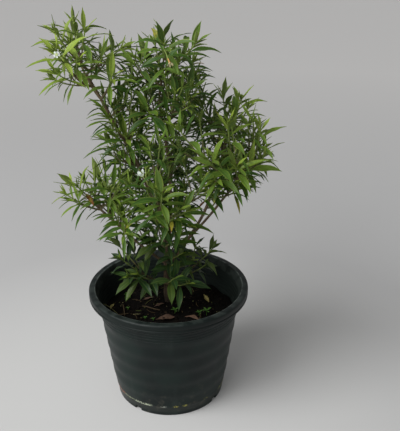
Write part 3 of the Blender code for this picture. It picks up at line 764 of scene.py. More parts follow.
def smoothstep(low, high, value):
    """0 below low, 1 above high, and a smooth rise between."""
    share = min(max((value - low) / (high - low), 0.0), 1.0)
    return share * share * (3 - 2 * share)


# The plant's rules, as in the part


def limb_course(name, per_span=2):
    """A limb's points in metres and its radius at each."""
    points, foot, tip = LIMBS[name]
    curve = through([Vector(p) * CM for p in points], per_span)
    return curve, [CM * radius for radius in evenly(foot, tip, len(curve) - 1)]


def bend(a, b, c, t):
    """A point and its direction on the curve from a to c that leaves towards b."""
    point = a * (1 - t) ** 2 + b * 2 * t * (1 - t) + c * t**2
    return point, ((b - a) * (1 - t) + (c - b) * t).normalized()


class Shoot:
    """One twig: wood from the limb, then the green stem that carries the leaves."""

    def __init__(self, name, foot, knee, tip):
        self.name = name
        self.own = name.startswith("spray_")  # as against the side shoots, which only the scene has
        self.part = name.split("_", 1)[1].rsplit("_", 1)[0]
        self.foot, self.knee, self.tip = foot, knee, tip
        self.length = (knee - foot).length + (tip - knee).length
        self.cut = 1 - min(STEM_LENGTH / self.length, STEM_SHARE)
        self.side = (tip - foot).cross(ASIDE).normalized()

    def spots(self, start, end, steps):
        """Points and directions on the twig, which runs from 0 at the limb to 1 at its tip."""
        return [bend(self.foot, self.knee, self.tip, t) for t in evenly(start, end, steps)]

    def wood_spots(self, steps=TWIG_STEPS):
        return self.spots(0, self.cut, steps)

    def stem_spots(self, steps=STEM_STEPS):
        return self.spots(self.cut + CUT_GAP / self.length, 1, steps)

    def on_stem(self, share):
        """A point on the green stem with share from 0 to 1, the way along it and two ways square to that."""
        spots = self.stem_spots()
        span = min(int(share * STEM_STEPS), STEM_STEPS - 1)
        part = share * STEM_STEPS - span
        (low, low_way), (high, high_way) = spots[span], spots[span + 1]
        along = low_way.lerp(high_way, part).normalized()
        return low.lerp(high, part), along, *square_to(along, self.side)

    def solid(self, spots, radii, sides, grow=0.0):
        """A tube through the spots, with its ends square to the twig."""
        return tube([p for p, _ in spots], radii, sides, (spots[0][1], spots[-1][1]), grow, self.side)

    def wood(self):
        return self.solid(self.wood_spots(), evenly(TWIG_FOOT_RADIUS, TWIG_RADIUS, TWIG_STEPS), TWIG_SIDES)

    def stem(self, grow=0.0):
        radii = evenly(STEM_FOOT_RADIUS, STEM_TIP_RADIUS, STEM_STEPS)
        return self.solid(self.stem_spots(), radii, STEM_SIDES, grow)


def best_foot(tip, wood_places):
    """The place on the wood that suits a twig to the tip: near it and well below it."""

    def cost(place):
        reach = tip - place
        return reach.length * (1 + LEVEL_COST * max(0, LOWEST_RISE - reach.z / reach.length))

    return min((place for place in wood_places if (tip - place).length >= SHORTEST_TWIG), key=cost)


class Wood:
    """The places where twigs can start, and the solids that new twigs keep clear of."""

    def __init__(self):
        self.places, self.wood_trees, self.stem_trees = [], [], []
        for name in LIMBS:
            curve, radii = limb_course(name)
            start = 2 if name == "trunk" else 1
            self.places += curve[start:]
            self.wood_trees.append(tree_of(tube(curve, radii, WOOD_SIDES)))

    def grow(self, tips_of, prefix):
        """Every twig to the tips, nearest the wood first, with its foot on a limb or an earlier twig."""
        wanted = [
            (f"{prefix}_{part}_{i:02d}", Vector(tip) * CM)
            for part, tips in tips_of.items()
            for i, tip in enumerate(tips, 1)
        ]
        wanted.sort(key=lambda w: (best_foot(w[1], self.places) - w[1]).length)
        return [self.twig(name, tip) for name, tip in wanted]

    def twig(self, name, tip):
        """One twig, bent clear of the stems where it can be."""
        foot = best_foot(tip, self.places)
        reach = tip - foot
        dice = random.Random("twig of " + name)
        for attempt in range(TRIES):
            sway = Vector([dice.uniform(-1, most) for most in MOST_SWAY])
            bow = sway * (TWIG_SWAY + MORE_SWAY * attempt) - UP * TWIG_SAG
            shoot = Shoot(name, foot, foot + reach * KNEE_PLACE + bow * reach.length, tip)
            stem, wood = tree_of(shoot.stem(CLEARANCE)), tree_of(shoot.wood())
            if not meets(stem, self.wood_trees + self.stem_trees) and not meets(wood, self.stem_trees):
                break
        self.wood_trees.append(wood)
        self.stem_trees.append(stem)
        self.places += [point for point, _ in shoot.wood_spots()[1:-1]]
        return shoot


class Leaf:
    """One blade: where it starts, which way it sets out, how far it droops, and its size."""

    def __init__(self, start, along, out, angle, droop, length, roll=0, wave=1, pair=0):
        self.start = start
        self.first = turned_way(along, out, angle).normalized()
        self.across = along.cross(out).normalized()
        self.droop, self.length, self.roll, self.wave, self.pair = droop, length, roll, wave, pair

    def heading(self, share):
        """The way the drooping blade runs at a share of its length."""
        return (self.first - UP * self.droop * share**DROOP_POWER).normalized()

    def sections(self, stations):
        """At each station: the midrib point, the sideways and upward directions and the half width."""
        made, point, before = [], self.start, 0.0
        for share in stations:
            point = point + self.heading((before + share) / 2) * self.length * (share - before)
            heading = self.heading(share)
            _, botanic = square_to(heading, self.across)
            level = UP - heading * UP.dot(heading)
            face = (botanic * FACE_OWN + level * FACE_LEVEL).normalized()
            side = face.cross(heading)
            face, side = turned_way(face, side, self.roll), turned_way(side, -face, self.roll)
            outline = sin(pi * share**LEAF_FULLNESS) if 0 < share < 1 else 0.0
            half = LEAF_SLIMNESS * self.length * max(outline, 0.0) ** LEAF_POINT
            made.append((point, side, face, half))
            before = share
        return made

    def solid(self, grow=0.0):
        """The plain blade of the part, which the overlap tests use, with more stations on a long leaf."""
        fold = radians(LEAF_FOLD_DEG)
        sections = self.sections(LONG_STATIONS if self.length > LONG_LEAF else SHORT_STATIONS)
        corners = [self.start]
        for i, (point, side, face, half) in enumerate(sections[1:-1]):
            lift = self.wave * LEAF_WAVE * (1 if i % 2 else -1)
            out = half * cos(fold) + grow
            rise = half * sin(fold) + grow
            corners.append(point + side * out + face * (rise + lift))
            corners.append(point - side * out + face * (rise - lift))
            corners.append(point - face * (LEAF_KEEL + grow))
        corners.append(sections[-1][0])
        return corners, blade_faces(corners, [face for _, _, face, _ in sections[1:-1]])


def blade_faces(corners, up_ways):
    """The faces of a plain blade: a point, rings of right edge, left edge and keel, and the tip."""
    tip = len(corners) - 1
    faces = []
    for k in range(3):
        nxt = (k + 1) % 3
        faces.append((0, 1 + nxt, 1 + k))
        faces.append((tip - 3 + k, tip - 3 + nxt, tip))
        for row, a in enumerate(range(1, tip - 3, 3)):
            out = up_ways[row] + up_ways[row + 1]
            faces += cut_outwards((a + k, a + nxt, a + nxt + 3, a + k + 3), corners, -out if k else out)
    return faces


def cut_outwards(quad, corners, out):
    """A four-sided face as two triangles, cut along the diagonal that lies further out."""
    a, b, c, d = quad
    if (corners[a] + corners[c]).dot(out) >= (corners[b] + corners[d]).dot(out):
        return [(a, b, c), (a, c, d)]
    return [(a, b, d), (b, c, d)]


def leaves_of(shoot, near, shrink, tries=TRIES):
    """The shoot's leaves, each turned, bent or shortened until clear, or else left out, and their trees."""
    dice = random.Random("leaves of " + shoot.name)
    kept, own = [], []
    for pair, place in enumerate(PAIR_PLACES):
        point, along, side, other = shoot.on_stem(place)
        for half_turn in (0, 1):
            turn = pi / 4 + pair * pi / 2 + half_turn * pi
            length = PAIR_LENGTHS[pair] * dice.uniform(*LENGTH_RANGE) * shrink
            angle = radians(PAIR_ANGLES_DEG[pair] + dice.uniform(*ANGLE_RANGE))
            droop = PAIR_DROOPS[pair] * dice.uniform(*DROOP_RANGE)
            roll = radians(dice.uniform(*ROLL_RANGE))
            wave = dice.choice((-1, 1))
            for attempt in range(tries):
                out = turned_way(side, other, turn + dice.uniform(*SWING_RANGE) * (attempt + 1))
                out = (out + UP * LEAF_RISE * max(0.0, -out.z)).normalized()
                lift = angle + radians(dice.uniform(*LIFT_RANGE)) * attempt
                bent, size = droop * (1 - DROOP_LOSS * attempt), length * (1 - LENGTH_LOSS * attempt)
                leaf = Leaf(point + out * LEAF_START, along, out, lift, bent, size, roll, wave, pair)
                blade = tree_of(leaf.solid())
                if not meets(tree_of(leaf.solid(CLEARANCE)), near) and not meets(blade, own):
                    own.append(blade)
                    kept.append(leaf)
                    break
    return kept, own


def bloom_axis(name, shoots):
    """Where a bloom's stalk leaves its shoot, the bloom's place and the way it faces."""
    shoot_name, place, _, _ = BLOOMS[name]
    shoot = next(s for s in shoots if s.name == shoot_name)
    foot = shoot.on_stem(STALK_PLACE)[0]
    place = Vector(place) * CM
    return foot, place, (place - foot).normalized()


def stalk_solid(name, shoots, grow=0.0, sides=BLOOM_SIDES):
    """A bloom's green stalk, which belongs to its shoot."""
    foot, place, facing = bloom_axis(name, shoots)
    ends = [foot, place - facing * TUBE_LENGTH]
    return tube(ends, [TUBE_RADIUS, STALK_TIP_RADIUS], sides, (facing, facing), grow)


def soil_height(x, y):
    """The lumpy soil surface, a little higher round the trunk."""
    lumps = sin(47 * x + 1.3) * cos(39 * y - 0.4) + 0.6 * sin(88 * x - 71 * y)
    trunk_x, trunk_y = (v * CM for v in TRUNK_PLACE)
    away = hypot(x - trunk_x, y - trunk_y)
    return SOIL_TOP + SOIL_LUMP * lumps + SOIL_MOUND * exp(-((away / MOUND_REACH) ** 2))


def root_course(per_span=2):
    """The trunk and its root end, which stands in the soil, with the radius at each point."""
    curve, radii = limb_course("trunk", per_span)
    foot = Vector((curve[0].x, curve[0].y, SOIL_TOP - ROOT_DEPTH))
    return [foot] + curve, radii[:1] + radii


def wall_radius(height):
    """The pot's outer wall, plain radius at a height."""
    share = (height - FOOT_TOP) / (WALL_TOP - FOOT_TOP)
    return WALL_FOOT_RADIUS + share * (WALL_TOP_RADIUS - WALL_FOOT_RADIUS)


def inner_radius(height):
    """The pot's inside radius at a height, on one straight taper down to the floor."""
    low = BASE_RADIUS - WALL
    high = WALL_TOP_RADIUS - WALL
    return low + (high - low) * (height - FLOOR) / (WALL_TOP - FLOOR)


def block(centre, size, turn):
    """A box round a centre, turned about Z."""
    spin = Matrix.Rotation(turn, 3, "Z") @ Matrix.Diagonal(size)
    ends = (-0.5, 0.5)
    corners = [Vector(centre) + spin @ Vector((x, y, z)) for x in ends for y in ends for z in ends]
    faces = [(0, 1, 3, 2), (4, 6, 7, 5), (0, 4, 5, 1), (2, 3, 7, 6), (0, 2, 6, 4), (1, 5, 7, 3)]
    return corners, faces


# The crown as it grew


def still_trees(nodes, shoots):
    """The overlap trees of everything that leaves keep clear of, apart from other shoots."""
    courses = [root_course()] + [limb_course(name) for name in LIMBS]
    wood = [tube(*course, WOOD_SIDES) for course in courses] + [shoot.wood() for shoot in shoots]
    return [node_tree(nodes["soil"]), node_tree(nodes["pot"])] + [tree_of(solid) for solid in wood]


def bloom_trees(nodes, shoots):
    """The overlap trees of the blooms and their stalks."""
    stalks = [tree_of(stalk_solid(name, shoots, CLEARANCE)) for name in BLOOMS]
    return [node_tree(nodes[name]) for name in BLOOMS] + stalks


def view_trees(shoots):
    """The spaces ahead of the blooms, which side shoots leave free so that the blooms show in front."""
    trees = []
    for name in BLOOMS:
        _, place, facing = bloom_axis(name, shoots)
        start = place + facing * VIEW_FREE
        ends = [start + AHEAD * reach for reach in VIEW_REACH]
        trees.append(tree_of(tube(ends, [VIEW_RADIUS] * 2, VIEW_SIDES)))
    return trees


def with_fill(side_tips):
    """The side shoots' tips, and more of them between neighbours, where there is room."""
    filled = {}
    for part, tips in side_tips.items():
        wanted, seed = FILLS[part]
        dice = random.Random(f"fill {part} {seed}")
        stand = [Vector(tip) * CM for tip in SHOOT_TIPS[part] + tips]
        added = []
        while len(added) < wanted:
            one = dice.choice(stand)
            near = sorted(stand, key=lambda other: (other - one).length)[1 : 1 + FILL_NEIGHBOURS]
            tip = one.lerp(dice.choice(near), dice.uniform(*FILL_PLACES))
            tip += Vector([dice.uniform(-FILL_SPREAD, FILL_SPREAD) for _ in range(3)])
            tip.z -= dice.uniform(*FILL_DROP)
            if min((other - tip).length for other in stand + added) > FILL_SPACE:
                added.append(tip)
        filled[part] = tips + [tuple(tip / CM) for tip in added]
    return filled


def grow_leaves(shoots, side_shoots, still, blooms, views):
    """The leaves of every shoot: first the part's own, by its own trials, then the side shoots'."""
    leaves, trees, stems = {}, {}, {}

    def grow(wanted, others, near, reach, tries):
        stems.update({shoot.name: tree_of(shoot.stem(CLEARANCE)) for shoot in wanted})
        for shoot in wanted:
            shrink = BASAL_SHRINK if shoot.part == "basal" else 1
            if not shoot.own:
                shrink = random.Random("size of " + shoot.name).uniform(*SIDE_SHRINK)
            around = list(near)
            for other in others:
                if other is not shoot and (other.tip - shoot.tip).length < reach:
                    around += [stems[other.name]] + trees.get(other.name, [])
            leaves[shoot.name], trees[shoot.name] = leaves_of(shoot, around, shrink, tries)

    grow(shoots, shoots, still + blooms, REACH, TRIES)
    woods = [tree_of(shoot.wood()) for shoot in side_shoots]
    grow(side_shoots, shoots + side_shoots, still + blooms + woods + views, SIDE_REACH, SIDE_TRIES)
    return leaves


# Fine leaves and stems


def blade_half(share, length, slimness):
    """Half the blade's width: a stalk, then a long oval that draws out to a slender tip."""
    past = (share - PETIOLE) / (1 - PETIOLE)
    stalk = STALK_HALF * (1 - share)
    if past <= 0:
        return stalk
    oval = sin(pi * past**BLADE_FULLNESS) ** BLADE_POINT if past < 1 else 0.0
    return max(stalk, slimness * length * oval * (1 - TIP_DRAW * smoothstep(TIP_START, 1, past)))


def there_and_back(across):
    """Places across a blade, over its top (0) and back under it (1), each edge once."""
    return [(u, 0) for u in across] + [(u, 1) for u in across[-2:0:-1]]


def add_blade(gather, leaf, slimness, fold_deg, dice, tone, detail=FULL, lying=False):
    """A closed thin blade with a fold, waved margins and a midrib; a lying one follows the soil."""
    rows, across = detail
    fold = radians(fold_deg)
    phase = dice.uniform(*PHASE_RANGE)
    waves = dice.uniform(*WAVE_RANGE)
    marks = []
    sections = leaf.sections(rows)
    for share, (point, side, face, _) in zip(rows[:-1], sections):
        half = blade_half(share, leaf.length, slimness)
        body = smoothstep(PETIOLE, BODY_START, share)
        for u, under in there_and_back(across):
            edge = abs(u)
            rise = half * sin(fold) * edge**FOLD_POWER - MARGIN_CURL * half * edge**4 * body
            turn = 2 * pi * waves * share + phase + (MARGIN_LAG if u < 0 else 0)
            rise += MARGIN_WAVE * half / WAVE_HALF * body * u * u * sin(turn)
            if under:
                rise -= BLADE_THICKNESS + (RIB_DEPTH * (1 - RIB_TAPER * share) if u == 0 else 0)
            elif u == 0:
                rise -= GROOVE * body
            vein = (share * leaf.length - VEIN_RAKE * half * edge) / VEIN_SPACING
            corner = point + side * half * cos(fold) * u + face * rise
            marks.append((corner, u, share, vein, under))
    marks.append((sections[-1][0], 0, 1, leaf.length / VEIN_SPACING, 0))
    corners, *values = zip(*marks)
    if lying:
        corners = [c + UP * (soil_height(c.x, c.y) + DRY_LIFT) for c in corners]
    layers = {name: list(corner_values) for name, corner_values in zip(LEAF_LAYERS, values)}
    faces = ring_faces(len(corners) - 1, 2 * len(across) - 2)
    gather.add((corners, faces), 0, **layers, **tone)


def ring_faces(tip, count):
    """The faces of a closed form made of rings of count corners, flat at its start, with one tip corner."""
    faces = [tuple(range(count))]
    for low in range(0, tip - count, count):
        for k in range(count):
            nxt = (k + 1) % count
            faces.append((low + k, low + count + k, low + count + nxt, low + nxt))
    for k in range(count):
        faces.append((tip - count + k, tip, tip - count + (k + 1) % count))
    return faces


def leaf_tone(leaf, shoot, dice):
    """A leaf's own age, shade and blemish: old and dark low on a shoot; the age also holds painted light and
    shade by part, height and reach.
    """
    age = OLDEST - PAIR_YOUTH * leaf.pair + dice.uniform(*AGE_RANGE)
    # painted light and shade carried in the age: lighter high up, far out and in the lit parts, darker low,
    # inside, at the back and at the base
    age += PART_AGE_AND_LIGHT.get(shoot.part, 0) - HEIGHT_YOUTH_AND_LIGHT * (shoot.tip.z - MIDDLE_HEIGHT)
    age -= OUTER_YOUTH_AND_LIGHT * max(0, hypot(shoot.tip.x, shoot.tip.y) - OUTER_START)
    if not shoot.own:
        age += SIDE_AGE
    blemish = 0.0
    middle = leaf.start + leaf.first * leaf.length / 2
    if min((middle - Vector(place) * CM).length for place in SICK_PLACES) < SICK_REACH:
        blemish = dice.uniform(*SICK_RANGE)
    elif dice.random() < SPOTTED_SHARE:
        blemish = dice.uniform(*SPOT_RANGE)
    if shoot.part == "basal":
        blemish *= BASAL_BLEMISH
    return {"age": min(max(age, 0), 1), "shade": dice.random(), "blemish": blemish}


def young_tone(dice, oldest):
    """The same for a small young leaf."""
    return {"age": dice.uniform(0, oldest), "shade": dice.random(), "blemish": 0.0}


def add_stem(gather, shoot):
    """The green stem, swollen where each pair of leaves stands."""
    shares = evenly(0, 1, STEM_FINE_STEPS)
    radii = []
    for share, plain in zip(shares, evenly(STEM_FOOT_RADIUS, STEM_TIP_RADIUS, STEM_FINE_STEPS)):
        swell = max(1 - abs(share - place) / NODE_REACH for place in PAIR_PLACES)
        radii.append(plain * FINE_STEM_SHARE * (1 + NODE_SWELL * max(swell, 0)))
    solid = shoot.solid(shoot.stem_spots(STEM_FINE_STEPS), radii, FINE_STEM_SIDES)
    gather.add(solid, 1, **stem_layers(each(shares, FINE_STEM_SIDES)))


def stem_layers(along):
    """Values for the corners of a stem: only how far along it they are matters."""
    return dict.fromkeys(LEAF_LAYERS + LEAF_TONES, 0.0) | {"along": along}


def add_tuft(gather, shoot, dice):
    """Two pairs of small bright leaves round the growing tip."""
    point, along, side, other = shoot.on_stem(TUFT_PLACE)
    for k, (length, angle_deg) in enumerate(zip(YOUNG_LENGTHS, YOUNG_ANGLES_DEG)):
        out = turned_way(side, other, pi / 2 * (k // 2) + pi * (k % 2) + TUFT_TURN)
        length *= dice.uniform(*YOUNG_LENGTH_RANGE)
        angle = radians(angle_deg + dice.uniform(*YOUNG_ANGLE_RANGE))
        start = point - along * YOUNG_STEP * k
        leaf = Leaf(start, along, out, angle, YOUNG_DROOP, length, dice.uniform(*YOUNG_ROLL_RANGE))
        tone = young_tone(dice, YOUNG_OLDEST)
        add_blade(gather, leaf, YOUNG_SLIMNESS, YOUNG_FOLD_DEG, dice, tone, FEWER)


def add_buds(gather, shoot, dice):
    """A small cluster of unopened buds, each on its own fine stalk."""
    point, along, side, other = shoot.on_stem(BUD_PLACE)
    for k in range(BUDS_EACH):
        out = turned_way(side, other, 2 * pi * k / BUDS_EACH + dice.uniform(*BUD_TURNS))
        way = (along + out * dice.uniform(*BUD_SPREAD)).normalized()
        reach = dice.uniform(*BUD_REACH)
        points = [point + way * reach * share for share in BUD_STATIONS]
        solid = tube(points, [reach * width for width in BUD_WIDTHS], BUD_SIDES, (way, way))
        gather.add(solid, 1, **stem_layers(each(BUD_STATIONS, BUD_SIDES)))


def make_foliage(shoots, leaves, materials):
    """One piece for each part of the crown, which stands for that part's sprays."""
    for part in SHOOT_TIPS:
        gather = Gather()
        members = [shoot for shoot in shoots if shoot.part == part]
        for shoot in members:
            add_leafy_shoot(gather, shoot, shoots, leaves[shoot.name])
        gather.piece("foliage_" + part, materials, [shoot.name for shoot in members if shoot.own])


def add_leafy_shoot(gather, shoot, shoots, leaves):
    """A stem with its fine leaves, often a tuft at its tip, and the buds and flower stalk it may have."""
    dice = random.Random("looks of " + shoot.name)
    add_stem(gather, shoot)
    detail = FULL if shoot.own else FEWER
    slimness = (FINE_SLIMNESS if shoot.own else SIDE_SLIMNESS) * PART_WIDTHS.get(shoot.part, 1)
    for leaf in leaves:
        width = slimness * dice.uniform(*WIDTH_RANGE)
        fold = FINE_FOLD_DEG * dice.uniform(*FOLD_RANGE)
        tone = leaf_tone(leaf, shoot, dice)
        add_blade(gather, leaf, width, fold, dice, tone, detail)
    if dice.random() < TUFT_SHARE:
        add_tuft(gather, shoot, dice)
    if shoot.name.removeprefix("spray_") in BUD_SHOOTS:
        add_buds(gather, shoot, dice)
    for name, (bearer, *_) in BLOOMS.items():
        if bearer == shoot.name:
            stalk = stalk_solid(name, shoots, sides=FINE_STALK_SIDES)
            gather.add(stalk, 1, **stem_layers(STALK_GREEN))


# Woody stems


def add_wood(gather, points, radii, sides, ends, side, age):
    """One woody stem, with a little unevenness and the scars of old leaves along it."""
    length = sum((b - a).length for a, b in zip(points, points[1:]))
    dice = random.Random(f"bark {points[0].x:.4f} {points[-1].z:.4f}")
    scars = np.arange(dice.uniform(*FIRST_SCAR) * SCAR_SPACING, length, SCAR_SPACING)
    far, fars, uneven = 0.0, [], []
    for i, point in enumerate(points):
        far += (point - points[i - 1]).length if i else 0.0
        near_scar = max((1 - abs(far - scar) / SCAR_REACH for scar in scars), default=0)
        lump = noise.noise(point * BARK_LUMP_SCALE)
        uneven.append(radii[i] * (1 + BARK_LUMP * lump + SCAR_RISE * max(near_scar, 0)))
        fars.append(far)
    rounds = [k / sides for _ in points for k in range(sides)]
    solid = tube(points, uneven, sides, ends, 0.0, side)
    gather.add(solid, 0, around=rounds, far=each(fars, sides), old=age)


def make_wood(shoots, material):
    """The trunk with its root end, the limbs and every twig."""
    gather = Gather()
    add_wood(gather, *root_course(LIMB_FINE_STEPS), LIMB_FINE_SIDES, (UP, None), None, WOOD_AGES["trunk"])
    for name in list(LIMBS)[1:]:
        course = limb_course(name, LIMB_FINE_STEPS)
        add_wood(gather, *course, LIMB_FINE_SIDES, (None, None), None, WOOD_AGES["limb"])
    plain = evenly(TWIG_FOOT_RADIUS, TWIG_RADIUS, TWIG_FINE_STEPS)
    for shoot in shoots:
        thin, kind = (1.0, "twig") if shoot.own else (SIDE_TWIG_SHARE, "side twig")
        points, ways = zip(*shoot.wood_spots(TWIG_FINE_STEPS))
        radii = [thin * radius for radius in plain]
        add_wood(gather, points, radii, TWIG_FINE_SIDES, (ways[0], ways[-1]), shoot.side, WOOD_AGES[kind])
    gather.piece("woody_stems_fine", [material], ["woody_stems"])


# Pot


def arc(centre, radius, start_deg, end_deg, steps):
    """Points of a profile on a round corner."""
    turns = [radians(turn) for turn in evenly(start_deg, end_deg, steps)]
    return [(centre[0] + radius * cos(turn), centre[1] + radius * sin(turn)) for turn in turns]


def band_rise(height):
    """How far the moulded bands stand out of the plain wall at a height."""
    spacing = (WALL_TOP - FOOT_TOP) / (RIB_COUNT + 1)
    above = (height - FOOT_TOP) % spacing
    band = int((height - FOOT_TOP) / spacing)
    if above > spacing - BAND_RISE:
        return RIB_HEIGHT * smoothstep(spacing - BAND_RISE, spacing, above) if band < RIB_COUNT else 0.0
    return RIB_HEIGHT * (1 - smoothstep(0, spacing - BAND_RISE, above)) if band > 0 else 0.0


def fine_wall():
    """The outer wall's profile, from the foot to the lip, with its bands and the fine lines near the top."""
    heights = set(np.linspace(FOOT_TOP + WALL_START, WALL_TOP, FINE_WALL_RINGS).round(6))
    for line in FINE_LINES:
        heights |= {round(line + step * FINE_LINE_HALF, 6) for step in (-1, -0.5, 0, 0.5, 1)}
    wall = []
    for height in sorted(heights):
        bead = max(max(0, 1 - abs(height - line) / FINE_LINE_HALF) for line in FINE_LINES)
        wall.append((wall_radius(height) + band_rise(height) + FINE_LINE_RISE * bead, height))
    return wall


def fine_pot_profile():
    """As the part's pot, with rounded edges, a rolled lip, fine lines and a faintly ribbed inside."""
    outline = [(0, 0), (BASE_RADIUS - EDGE_ROUND, 0)]
    outline += arc((BASE_RADIUS - EDGE_ROUND, EDGE_ROUND), EDGE_ROUND, -75, 0, 5)
    outline += [(WALL_FOOT_RADIUS - FOOT_STEP, FOOT_TOP - FOOT_STEP)]
    outline += [(WALL_FOOT_RADIUS - FOOT_LEDGE, FOOT_TOP)]
    outline += fine_wall()
    lip_foot = POT_HEIGHT - LIP_DROP
    roof = POT_HEIGHT - LIP_ROOF
    skirt_inside = LIP_RADIUS - WALL
    outline += [(OPENING_RADIUS + LIP_ROOF_IN, roof), (skirt_inside - SKIRT_BEVEL, roof)]
    outline += [(skirt_inside, lip_foot + SKIRT_BEVEL)]
    outline += arc((LIP_RADIUS - LIP_FOOT_IN, lip_foot + LIP_FOOT_ROUND), LIP_FOOT_ROUND, 200, 350, 4)
    groove_low, groove_high = (lip_foot + end for end in LIP_GROOVE_ENDS)
    outline += [(LIP_RADIUS, groove_low)]
    outline += arc((LIP_RADIUS + LIP_GROOVE_OUT, lip_foot + LIP_GROOVE_RISE), LIP_GROOVE, 235, 125, 4)
    outline += [(LIP_RADIUS, groove_high), (LIP_RADIUS, POT_HEIGHT - LIP_ROUND)]
    outline += arc((LIP_RADIUS - LIP_ROUND, POT_HEIGHT - LIP_ROUND), LIP_ROUND, 12, 90, 7)
    inner = (OPENING_RADIUS + LIP_INNER_ROUND, POT_HEIGHT - LIP_INNER_ROUND)
    outline += arc(inner, LIP_INNER_ROUND, 95, 178, 6)
    for height in np.linspace(WALL_TOP, SOIL_TOP - INNER_DEPTH, INNER_RINGS):
        ribbing = INNER_RIB * sin(2 * pi * (height - SOIL_TOP) / INNER_RIB_SPACING)
        outline.append((inner_radius(height) + ribbing, height))
    outline += [(inner_radius(FLOOR), FLOOR), (0, FLOOR)]
    return outline


def make_pot(material):
    """The pot, turned smooth, with its four drain notches cut through the foot."""
    corners, faces = turned(fine_pot_profile(), POT_SEGMENTS)
    pot = grown_mesh("pot_fine", corners, faces)
    for k in range(4):
        turn = radians(FIRST_NOTCH_DEG + 90 * k)
        middle = BASE_RADIUS + NOTCH_OUT - NOTCH_DEPTH / 2
        centre = (middle * cos(turn), middle * sin(turn), 0)
        notch = grown_mesh("notch", *block(centre, (NOTCH_DEPTH, NOTCH_WIDTH, 2 * NOTCH_HEIGHT), turn))
        cut(pot, notch)
    pot.data.materials.append(material)
    dress(pot, ["pot"], 40)


def cut(body, tool):
    """Takes the tool's form out of the body, and removes the tool."""
    cutter = body.modifiers.new("Cut", "BOOLEAN")
    cutter.operation = "DIFFERENCE"
    cutter.object = tool
    cutter.solver = "EXACT"
    seen = body.evaluated_get(bpy.context.evaluated_depsgraph_get())
    body.data = bpy.data.meshes.new_from_object(seen)
    body.modifiers.remove(cutter)
    bpy.data.objects.remove(tool)


# Soil and what lies on it


def fine_soil_height(x, y):
    """The soil surface with its clods and fine grit."""
    place = Vector((x, y, 0))
    clods = noise.fractal(place * CLOD_REPEATS, *CLOD_LAYERS)
    grit = noise.noise(place * GRIT_REPEATS + ASIDE)
    return soil_height(x, y) + SOIL_CLOD * clods + SOIL_GRIT * grit


def make_soil(materials):
    """A closed body of soil with a crumbly top, and the clods, bark flecks and straw that lie on it."""
    gather = Gather()
    low = FLOOR + GAP
    rim_height = SOIL_TOP - 2 * SOIL_LUMP
    profile = [(0, low), (inner_radius(low) - SOIL_CLEAR, low)]
    profile.append((inner_radius(rim_height) - SOIL_CLEAR, rim_height))
    edge = inner_radius(SOIL_TOP - SOIL_LUMP) - SOIL_CLEAR - SOIL_EDGE
    profile += [(edge * (1 - i / FINE_SOIL_RINGS), SOIL_TOP) for i in range(FINE_SOIL_RINGS + 1)]
    corners, faces = turned(profile, SOIL_SEGMENTS)
    first_top = 2 + 2 * SOIL_SEGMENTS
    for i, corner in enumerate(corners):
        if i == 1 or i >= first_top:
            corner.z = fine_soil_height(corner.x, corner.y)
    gather.add((corners, faces), 0, tint=0.0)
    dice = random.Random("litter")
    for count, add in ((CLODS, add_clod), (FLECKS, add_fleck), (STRAWS, add_straw)):
        for _ in range(count):
            add(gather, dice)
    for _ in range(FALLEN_TWIGS):
        add_straw(gather, dice, FALLEN_TWIG_LENGTHS, FALLEN_TWIG_RADIUS, 2)
    add_leaning_straw(gather)
    gather.piece("soil_fine", materials, ["soil"], 70)


def on_soil(dice, reach=LITTER_REACH):
    """A random place on the soil."""
    away = reach * (inner_radius(SOIL_TOP) - LITTER_MARGIN) * sqrt(dice.random())
    turn = dice.uniform(0, 2 * pi)
    return away * cos(turn), away * sin(turn)


def add_clod(gather, dice):
    """A rough lump, half sunk in the soil."""
    x, y = on_soil(dice)
    size = dice.uniform(*CLOD_SIZES)
    centre = Vector((x, y, fine_soil_height(x, y) + size * CLOD_RISE))
    shift = Vector((dice.random(), dice.random(), dice.random())) * CLOD_SPREAD
    corners, faces = ball(CLOD_SIDES, CLOD_RINGS)
    stretched = []
    for corner in corners:
        rough = 1 + CLOD_ROUGHNESS * noise.noise(corner * CLOD_ROUGH_REPEATS + shift)
        stretched.append(centre + corner * CLOD_SHAPE * size * rough)
    gather.add((stretched, faces), 0, tint=dice.uniform(*CLOD_TINTS))


def ball(sides, rings):
    """A round form of radius 1, from quads and two fans."""
    profile = [(0, -1)]
    for i in range(1, rings):
        turn = pi * i / rings - pi / 2
        profile.append((cos(turn), sin(turn)))
    return turned(profile + [(0, 1)], sides)


def add_fleck(gather, dice):
    """A chip of bark, leaf or perlite: a flat four-sided scrap that lies on the soil."""
    x, y = on_soil(dice)
    length, width = dice.uniform(*FLECK_LENGTHS), dice.uniform(*FLECK_WIDTHS)
    turn = dice.uniform(0, pi)
    slope = Vector((cos(turn), sin(turn), dice.uniform(*FLECK_TILTS))).normalized()
    across = slope.cross(UP).normalized() * width / 2
    centre = Vector((x, y, fine_soil_height(x, y) + FLECK_LIFT))
    ends = slope * length / 2
    back, front = FLECK_SHOULDERS
    outline = [centre - ends, centre - ends * back + across, centre + ends, centre + ends * front - across]
    corners = outline + [c + UP * FLECK_THICKNESS for c in outline]
    faces = [(0, 1, 2, 3), (7, 6, 5, 4)] + [(k, 4 + k, 4 + (k + 1) % 4, (k + 1) % 4) for k in range(4)]
    gather.add((corners, faces), 1, tint=dice.random())


